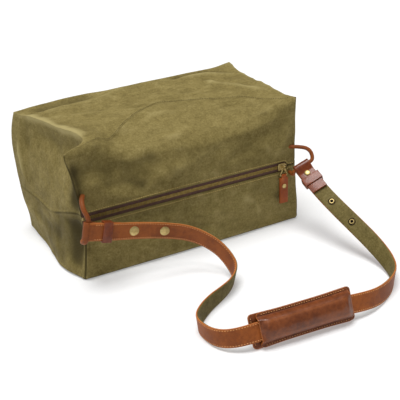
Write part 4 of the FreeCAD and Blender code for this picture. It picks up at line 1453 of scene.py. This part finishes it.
# Turned hardware: (radius, height) from the seat outwards, in millimetres.
CAP_PROFILE = [(0.0, -0.6), (6.4, -0.6), (7.0, 0.1), (6.9, 0.5), (6.2, 1.0), (4.6, 1.5),
               (2.6, 1.8), (0.0, 1.9)]
SOCKET_PROFILE = [(0.0, -0.4), (5.2, -0.4), (5.6, 0.2), (5.3, 0.9), (4.6, 1.1), (3.8, 0.9),
                  (0.0, 0.6)]
RIM_PROFILE = [(0.0, 0.3), (3.6, 0.3), (3.7, 1.1), (3.3, 1.6), (2.7, 1.6), (2.2, 1.1), (2.1, 0.8),
               (0.0, 0.75)]
# a flat disc down in the socket's hole, dressed near-black as painted shade
HOLE_PROFILE = [(0.0, 0.5), (2.15, 0.5), (2.15, 1.0), (0.0, 1.03)]


@dataclass
class ShoulderStrap:
    """The leather and canvas strap, its turned-back ends, keepers, snaps and stitches."""

    bench: Bench
    width: float = 25.0
    leather: float = 1.8
    lining: float = 1.2
    station_pitch: float = 3.0
    snap_places: dict["Side", tuple[float, float]] = field(default_factory=lambda: {
        Side.LEFT: (67.0, 112.0), Side.RIGHT: (75.0, 120.0)})
    tail_snap: float = 14.5
    tail_gap: float = 0.4
    loop_radius: float = 3.25
    loop_extra: dict["Side", float] = field(default_factory=lambda: {
        Side.LEFT: 0.2, Side.RIGHT: -0.3})
    fold_clear: float = 0.35
    loop_arms: dict["Side", tuple[float, float]] = field(default_factory=lambda: {
        Side.LEFT: (17.0, 16.0), Side.RIGHT: (20.5, 15.0)})
    loop_roots: dict["Side", tuple] = field(default_factory=lambda: {
        Side.LEFT: ((-168, -98, 130), (-175, -108, 129), (-179, -121, 121),
                    (-184, -119, 70), (-178, -108, 66), (-170, -97, 66)),
        Side.RIGHT: ((164, -98, 124), (176, -110, 126), (192, -122, 123),
                     (163, -122, 87), (166, -111, 84), (168, -97, 84))})
    ribbon: Ribbon = field(init=False)

    def __post_init__(self) -> None:
        """Lay the strap's line."""
        self.ribbon = Ribbon(ROUTE)

    def band(self, name: str, half: float, outer: float, inner: float, crown: float,
             rub_edge: float) -> bpy.types.Object:
        """A long layer of the strap.

        Args:
            name: the layer's name.
            half: half its width.
            outer: its outer face, measured towards the lining.
            inner: its inner face.
            crown: how far its outer face swells between the edges.
            rub_edge: how pale its edges are.

        Returns:
            The layer as one solid.
        """
        count = int(self.ribbon.length / self.station_pitch) + 1
        run = np.linspace(0.0, self.ribbon.length, count)
        middle, _, inward, across = self.ribbon.frames(run)
        corner = 0.45
        face = np.linspace(-1.0, 1.0, 9)
        face_half = half - corner
        profile = [(edge * face_half, outer - crown * (1 - edge ** 4)) for edge in face]
        profile += [(half, outer + corner), (half, inner - corner)]
        profile += [(edge * face_half, inner) for edge in face[::-2]]
        profile += [(-half, inner - corner), (-half, outer + corner)]
        section = np.array(profile)
        sections = (middle[:, None, :] + across[:, None, :] * section[None, :, 0, None]
                    + inward[:, None, :] * section[None, :, 1, None])
        edge_share = np.abs(section[:, 0]) / half
        rub = np.broadcast_to(rub_edge * smooth_step(edge_share, 0.93, 1.0),
                              sections.shape[:2])
        piece = self.bench.loft(name, sections * MM, {"rub": rub})
        self.bench.smooth(piece, 45.0)
        return piece

    def edge_stitches(self) -> bpy.types.Object:
        """Two rows of stitches along the leather's face."""
        lines = []
        run = np.linspace(8.0, self.ribbon.length - 8.0, 320)
        middle, _, inward, across = self.ribbon.frames(run)
        outer = -(self.leather + self.lining) / 2
        for side in (-1.0, 1.0):
            lines.append((middle + across * side * (self.width / 2 - 2.2)
                          + inward * (outer - 0.02), -inward))
        sewer = Stitching(self.bench, pitch=3.6, length=2.2, thread=0.5)
        return sewer.row("strap_stitches", lines, Finish.RAW_THREAD, "strap", None)

    def build(self) -> None:
        half_thick = (self.leather + self.lining) / 2
        seam = -half_thick + self.leather
        outside = self.band("leather_strap", self.width / 2, -half_thick, seam, 0.25, 0.75)
        self.bench.dress(outside, Finish.LEATHER)
        self.bench.report(outside, "strap", "leather", ["strap_leather"])
        inside = self.band("canvas_strap_lining", self.width / 2 - 0.5, seam, half_thick, 0.0, 0.3)
        self.bench.dress(inside, Finish.STRAP_CANVAS)
        self.bench.report(inside, "strap", "canvas", ["strap_lining"])
        self.carried = [inside, self.edge_stitches()]
        for side in Side:
            self.ends(side)
            self.snaps(side)
            self.loop(side)
        self.outside = outside

    def ends(self, side: "Side") -> None:
        """The turned-back end and the keeper at one side."""
        word = side.value
        fold = self.bench.refine(f"strap_fold_{word}", f"leather_fold_{word}", 0.45, 0.5)
        # the right fold gets the darker leather as painted shade, the left fold the tan
        self.bench.dress(fold, Finish.LEATHER if side is Side.LEFT else Finish.BINDING_LEATHER)
        self.bench.report(fold, "strap", "leather", [f"strap_fold_{word}"])
        keeper = self.bench.refine(f"keeper_{word}", f"leather_keeper_{word}", 0.55)
        self.bench.dress(keeper, Finish.BINDING_LEATHER)
        self.bench.report(keeper, f"{word}_keeper", "leather", [f"keeper_{word}"])
        self.carried += [fold, keeper]

    def seat(self, side: "Side", distance: float, height: float) -> tuple[Array, Array]:
        """A place on the strap and its inward direction, measured from one end."""
        run = distance if side is Side.LEFT else self.ribbon.length - distance
        middle, _, inward, _ = self.ribbon.frames(np.array([run]))
        return middle[0] + inward[0] * height, inward[0]

    def snaps(self, side: "Side") -> None:
        """Domed caps on the leather, sockets on the canvas with a near-black disc of painted shade
        in each hole, and a cap on the tail.
        """
        word = side.value
        half_thick = (self.leather + self.lining) / 2
        caps, sockets, rims, hole_shades = [], [], [], []
        for number, distance in enumerate(self.snap_places[side]):
            foot, inward = self.seat(side, distance, -half_thick - 0.1)
            caps.append(self.bench.turned(f"cap_{number}", CAP_PROFILE, (foot, -inward)))
            foot, inward = self.seat(side, distance, half_thick + 0.1)
            sockets.append(self.bench.turned(f"socket_{number}", SOCKET_PROFILE,
                                             (foot, inward)))
            rims.append(self.bench.turned(f"rim_{number}", RIM_PROFILE, (foot, inward)))
            hole_shades.append(self.bench.turned(f"hole_{number}", HOLE_PROFILE, (foot, inward)))
        foot, inward = self.seat(side, self.tail_snap, 3 * half_thick + self.tail_gap)
        small = [(radius * 0.68, height * 0.9) for radius, height in CAP_PROFILE]
        caps.append(self.bench.turned("cap_tail", small, (foot, inward)))
        for name, pieces, finish, node in (
                (f"brass_caps_{word}", caps, Finish.BRASS, [f"snap_caps_{word}"]),
                (f"brass_sockets_{word}", sockets, Finish.DARK_BRASS,
                 [f"snap_sockets_{word}"]),
                (f"socket_rims_{word}", rims, Finish.BRASS, []),
                (f"socket_hole_shades_{word}", hole_shades, Finish.HOLE, [])):
            piece = self.bench.gather(name, pieces)
            self.bench.dress(piece, finish)
            self.bench.report(piece, "strap", "brass", node)
            self.carried.append(piece)

    def loop(self, side: "Side") -> None:
        """The rolled-leather loop that ties the strap's fold to the bag's corner."""
        word = side.value
        end = 0.0 if side is Side.LEFT else self.ribbon.length
        middle, _, inward, across = (part[0] for part in self.ribbon.frames(np.array([end])))
        bend = self.loop_radius + self.fold_clear + (self.leather + self.lining) / 2
        heart = middle + inward * bend
        high, low = self.loop_arms[side]
        route = [np.array(place, float) for place in self.loop_roots[side]]
        upper, lower = route[:3], route[3:]
        path = upper + [heart + across * high, heart + across * high * 0.45,
                        heart - across * low * 0.45, heart - across * low] + lower
        piece = self.bench.tube(f"rolled_loop_{word}", path,
                                self.loop_radius + self.loop_extra[side])
        self.bench.dress(piece, Finish.LEATHER)
        self.bench.report(piece, None, "leather", [f"strap_loop_{word}"])
        tuple(heart * MM + np.array([0, 0.018, 0]))
        tuple(heart * MM + np.array([0, 0.004, 0]))
        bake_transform(piece)
        self.carried.append(piece)


@dataclass
class ShoulderPad:
    """The padded leather sleeve that the strap runs through."""

    bench: Bench
    length: float = 148.0
    width: float = 45.0
    short: float = 10.0
    near: float = 3.5
    wall: float = 2.0
    swell: float = 7.0
    corner: float = 5.5
    end_short: float = 5.0
    draw_in: float = 0.06
    share: float = 0.76

    def axes(self) -> tuple[Array, Array, Array, Array]:
        """The pad's middle, along, inward and across, from the strap's route."""
        before, after = np.array(ROUTE[16][:3], float), np.array(ROUTE[19][:3], float)
        start, end = np.array(ROUTE[17][:3], float), np.array(ROUTE[18][:3], float)
        along = after - before
        along /= np.linalg.norm(along)
        side = np.cross(along, (0.0, 0.0, 1.0))
        side /= np.linalg.norm(side)
        lean = math.radians(ROUTE[17][3])
        across = np.cross(side, along) * math.cos(lean) + side * math.sin(lean)
        return start + (end - start) * self.share, along, np.cross(across, along), across

    def place(self, x: Array, inward_by: Array, z: Array) -> Array:
        """Places from the pad's own directions."""
        middle, along, inward, across = self.axes()
        return (middle + along * x[..., None] + inward * inward_by[..., None]
                + across * z[..., None])

    def outline(self, u: Array, v: Array, start: float, stop: float) -> tuple[Array, Array]:
        """A rounded rectangle filled by a grid, u along and v across, both -1..1."""
        corner = self.corner
        half_x = (stop - start) / 2
        middle_x = stop - half_x
        z = v * self.width / 2
        pull_x = np.clip(np.abs(z) - (self.width / 2 - corner), 0, corner)
        inset = corner - np.sqrt(np.maximum(corner ** 2 - pull_x ** 2, 0))
        return middle_x + u * (half_x - inset), z

    def waist(self, x: Array) -> Array:
        """How much narrower the filled sleeve has drawn the pad at each place along it."""
        return 1 - self.draw_in * np.exp(-(x / (self.length * 0.36)) ** 4)

    def build(self) -> list[bpy.types.Object]:
        """Make both layers and their stitches.

        Returns:
            The pieces that go with the strap.
        """
        pieces = [self.layer_below(), self.layer_above()]
        pieces.append(self.stitches())
        return pieces

    def grid(self, rows: int, columns: int) -> tuple[Array, Array]:
        """Shares along and across, -1..1, crowded towards the edges."""
        return np.meshgrid(CanvasBody.crowded(columns) * 2 - 1, CanvasBody.crowded(rows) * 2 - 1)

    def layer_below(self) -> bpy.types.Object:
        """The flat layer behind the strap."""
        u, v = self.grid(25, 61)
        x, z = self.outline(u, v, -self.length / 2, self.length / 2)
        z = z * self.waist(x)
        level = np.full_like(x, self.near + 0.1) + 0.5 * np.maximum(np.abs(u), np.abs(v)) ** 8
        points = self.place(x, level, z)
        _, _, inward, _ = self.axes()
        edge = np.maximum(np.abs(u) ** 3, np.abs(v))
        rub = 0.8 * smooth_step(edge, 0.93, 1.0)
        base = self.bench.cloth_grid("pad_back_layer", points * MM,
                                     np.broadcast_to(-inward, points.shape), {"rub": rub})
        self.bench.modify(base, "SOLIDIFY", thickness=1.9 * MM, offset=-1.0)
        self.bench.smooth(base, 50.0)
        self.bench.dress(base, Finish.PAD_LEATHER)
        self.bench.report(base, "pad", "pad_leather", ["pad_base"])
        return base

    def layer_above(self) -> bpy.types.Object:
        """The crowned layer over the strap, swollen by its filling."""
        u, v = self.grid(61, 141)
        x, z = self.outline(u, v, self.short - self.length / 2, self.length / 2 - self.end_short)
        channel = smooth_step(0.80 - np.abs(v), 0.0, 0.20)
        ends = smooth_step(1 - np.abs(u), 0.0, 0.16)
        swell = self.swell * (1 - np.abs(v / 0.80).clip(0, 1) ** 2.0) * ends ** 0.7
        rumple = Rumple(5)
        wave = rumple.height(np.stack([x, z * 0.4, z * 0], axis=-1), 13.0, 3)
        wave *= 1.0 + 1.6 * np.exp(-((1 - np.abs(u)) / 0.25) ** 2)
        z = z * self.waist(x)
        edge = self.near - self.wall
        rise = channel * (2 * self.near + self.wall - 2.2)
        outer = edge - rise - (swell + wave * 0.8) * channel ** 0.5
        points = self.place(x, outer, z)
        _, _, inward, _ = self.axes()
        rub = 0.85 * smooth_step(np.abs(v), 0.93, 1.0) + 0.6 * smooth_step(np.abs(u), 0.975, 1.0)
        rub += 0.28 * np.exp(-((np.abs(v) - 0.50) / 0.10) ** 2) * ends
        crown = self.bench.cloth_grid("padded_crown", points * MM,
                                      np.broadcast_to(-inward, points.shape), {"rub": rub})
        self.bench.modify(crown, "SOLIDIFY", thickness=1.5 * MM, offset=-1.0)
        self.bench.smooth(crown, 60.0)
        self.bench.dress(crown, Finish.PAD_LEATHER)
        self.bench.report(crown, "pad", "pad_leather", ["pad_crown"])
        return crown

    def stitches(self) -> bpy.types.Object:
        """Stitches along both long edges and round the ends."""
        _, _, inward, _ = self.axes()
        lines = []
        start = self.short - self.length / 2
        run = np.linspace(start + 6, self.length / 2 - self.end_short - 6, 90)
        for side in (-1.0, 1.0):
            z = side * (self.width / 2 - 2.6) * self.waist(run)
            places = self.place(run, np.full_like(run, self.near - self.wall - 0.35), z)
            lines.append((places, np.broadcast_to(-inward, places.shape)))
        end_z = np.linspace(-self.width / 2 + 5, self.width / 2 - 5, 30)
        x = np.full_like(end_z, -self.length / 2 + 3.0)
        places = self.place(x, np.full_like(end_z, self.near - 0.2), end_z)
        lines.append((places, np.broadcast_to(-inward, places.shape)))
        sewer = Stitching(self.bench, pitch=3.6, length=2.2, thread=0.46)
        return sewer.row("pad_stitches", lines, Finish.RAW_THREAD, "pad", None)


# ------------------------------------------------------------------------ the studio

@dataclass
class Studio:
    """Plain pale floor, soft light and the camera."""

    azimuth: float = -28.2
    elevation: float = 25.7
    distance: float = 1.27
    target: tuple[float, float, float] = (-0.013, -0.146, 0.1)
    roll: float = -2.2
    lens: float = 81.0
    floor_side: float = 60.0
    surround: float = 0.25
    suns: tuple[tuple[str, float, float, tuple[float, float, float]], ...] = (
        ("key", 3.3, 34.0, (-2.0, -7.0, 0.0)),
        ("side", 0.12, 40.0, (60.0, 0.0, -70.0)))
    sensor: float = 36.0

    def build(self) -> None:
        """Set the stage."""
        self.floor()
        self.lights()
        self.camera()

    def floor(self) -> None:
        """A wide white floor."""
        Bench.clear()
        bpy.ops.mesh.primitive_plane_add(size=self.floor_side, location=(0, 0, -0.0004))
        floor = bpy.context.object
        floor.name = "studio_floor"
        mix = Recipe("studio_white")
        mix.set(Base_Color=(0.62, 0.62, 0.62), Roughness=0.9, Specular_IOR_Level=0.1)
        mix.set(Emission_Color=(1.0, 1.0, 1.0), Emission_Strength=0.28)
        floor.data.materials.append(mix.material)

    def lights(self) -> None:
        """A bright, soft key from above and an even surround."""
        world = bpy.data.worlds.new("studio_surround")
        world.use_nodes = True
        surround = world.node_tree.nodes["Background"]
        surround.inputs["Color"].default_value = (1.0, 1.0, 1.0, 1.0)
        surround.inputs["Strength"].default_value = self.surround
        bpy.context.scene.world = world
        for name, strength, spread, turn in self.suns:
            light = bpy.data.lights.new(name, "SUN")
            light.energy = strength
            light.angle = math.radians(spread)
            lamp = bpy.data.objects.new(name, light)
            lamp.rotation_euler = [math.radians(value) for value in turn]
            bpy.context.scene.collection.objects.link(lamp)
        bpy.context.scene.view_settings.view_transform = "Standard"

    def camera(self) -> None:
        """The camera, level apart from a slight roll."""
        azimuth, elevation = math.radians(self.azimuth), math.radians(self.elevation)
        out = Vector((math.sin(azimuth) * math.cos(elevation),
                      -math.cos(azimuth) * math.cos(elevation), math.sin(elevation)))
        data = bpy.data.cameras.new("viewpoint")
        data.lens = self.lens
        data.sensor_width = self.sensor
        data.clip_start = 0.05
        camera = bpy.data.objects.new("viewpoint", data)
        place = Vector(self.target) + out * self.distance
        turn = (-out).to_track_quat("-Z", "Y").to_matrix().to_4x4()
        camera.matrix_world = (Matrix.Translation(place) @ turn
                               @ Matrix.Rotation(math.radians(self.roll), 4, "Z"))
        bpy.context.scene.collection.objects.link(camera)
        bpy.context.scene.camera = camera


def main() -> None:
    """Build the bag in its working order."""
    logging.basicConfig(level=logging.INFO, format="%(message)s")
    Studio().build()
    bench = Bench(Cupboard())
    strap = ShoulderStrap(bench)
    strap.build()
    ShoulderPad(bench).build()
    form = BagForm()
    canvas = CanvasBody(bench, form)
    canvas.build()
    CanvasStitches(bench, canvas).build()
    Zipper(bench, form).build()


if __name__ == "__main__":
    main()
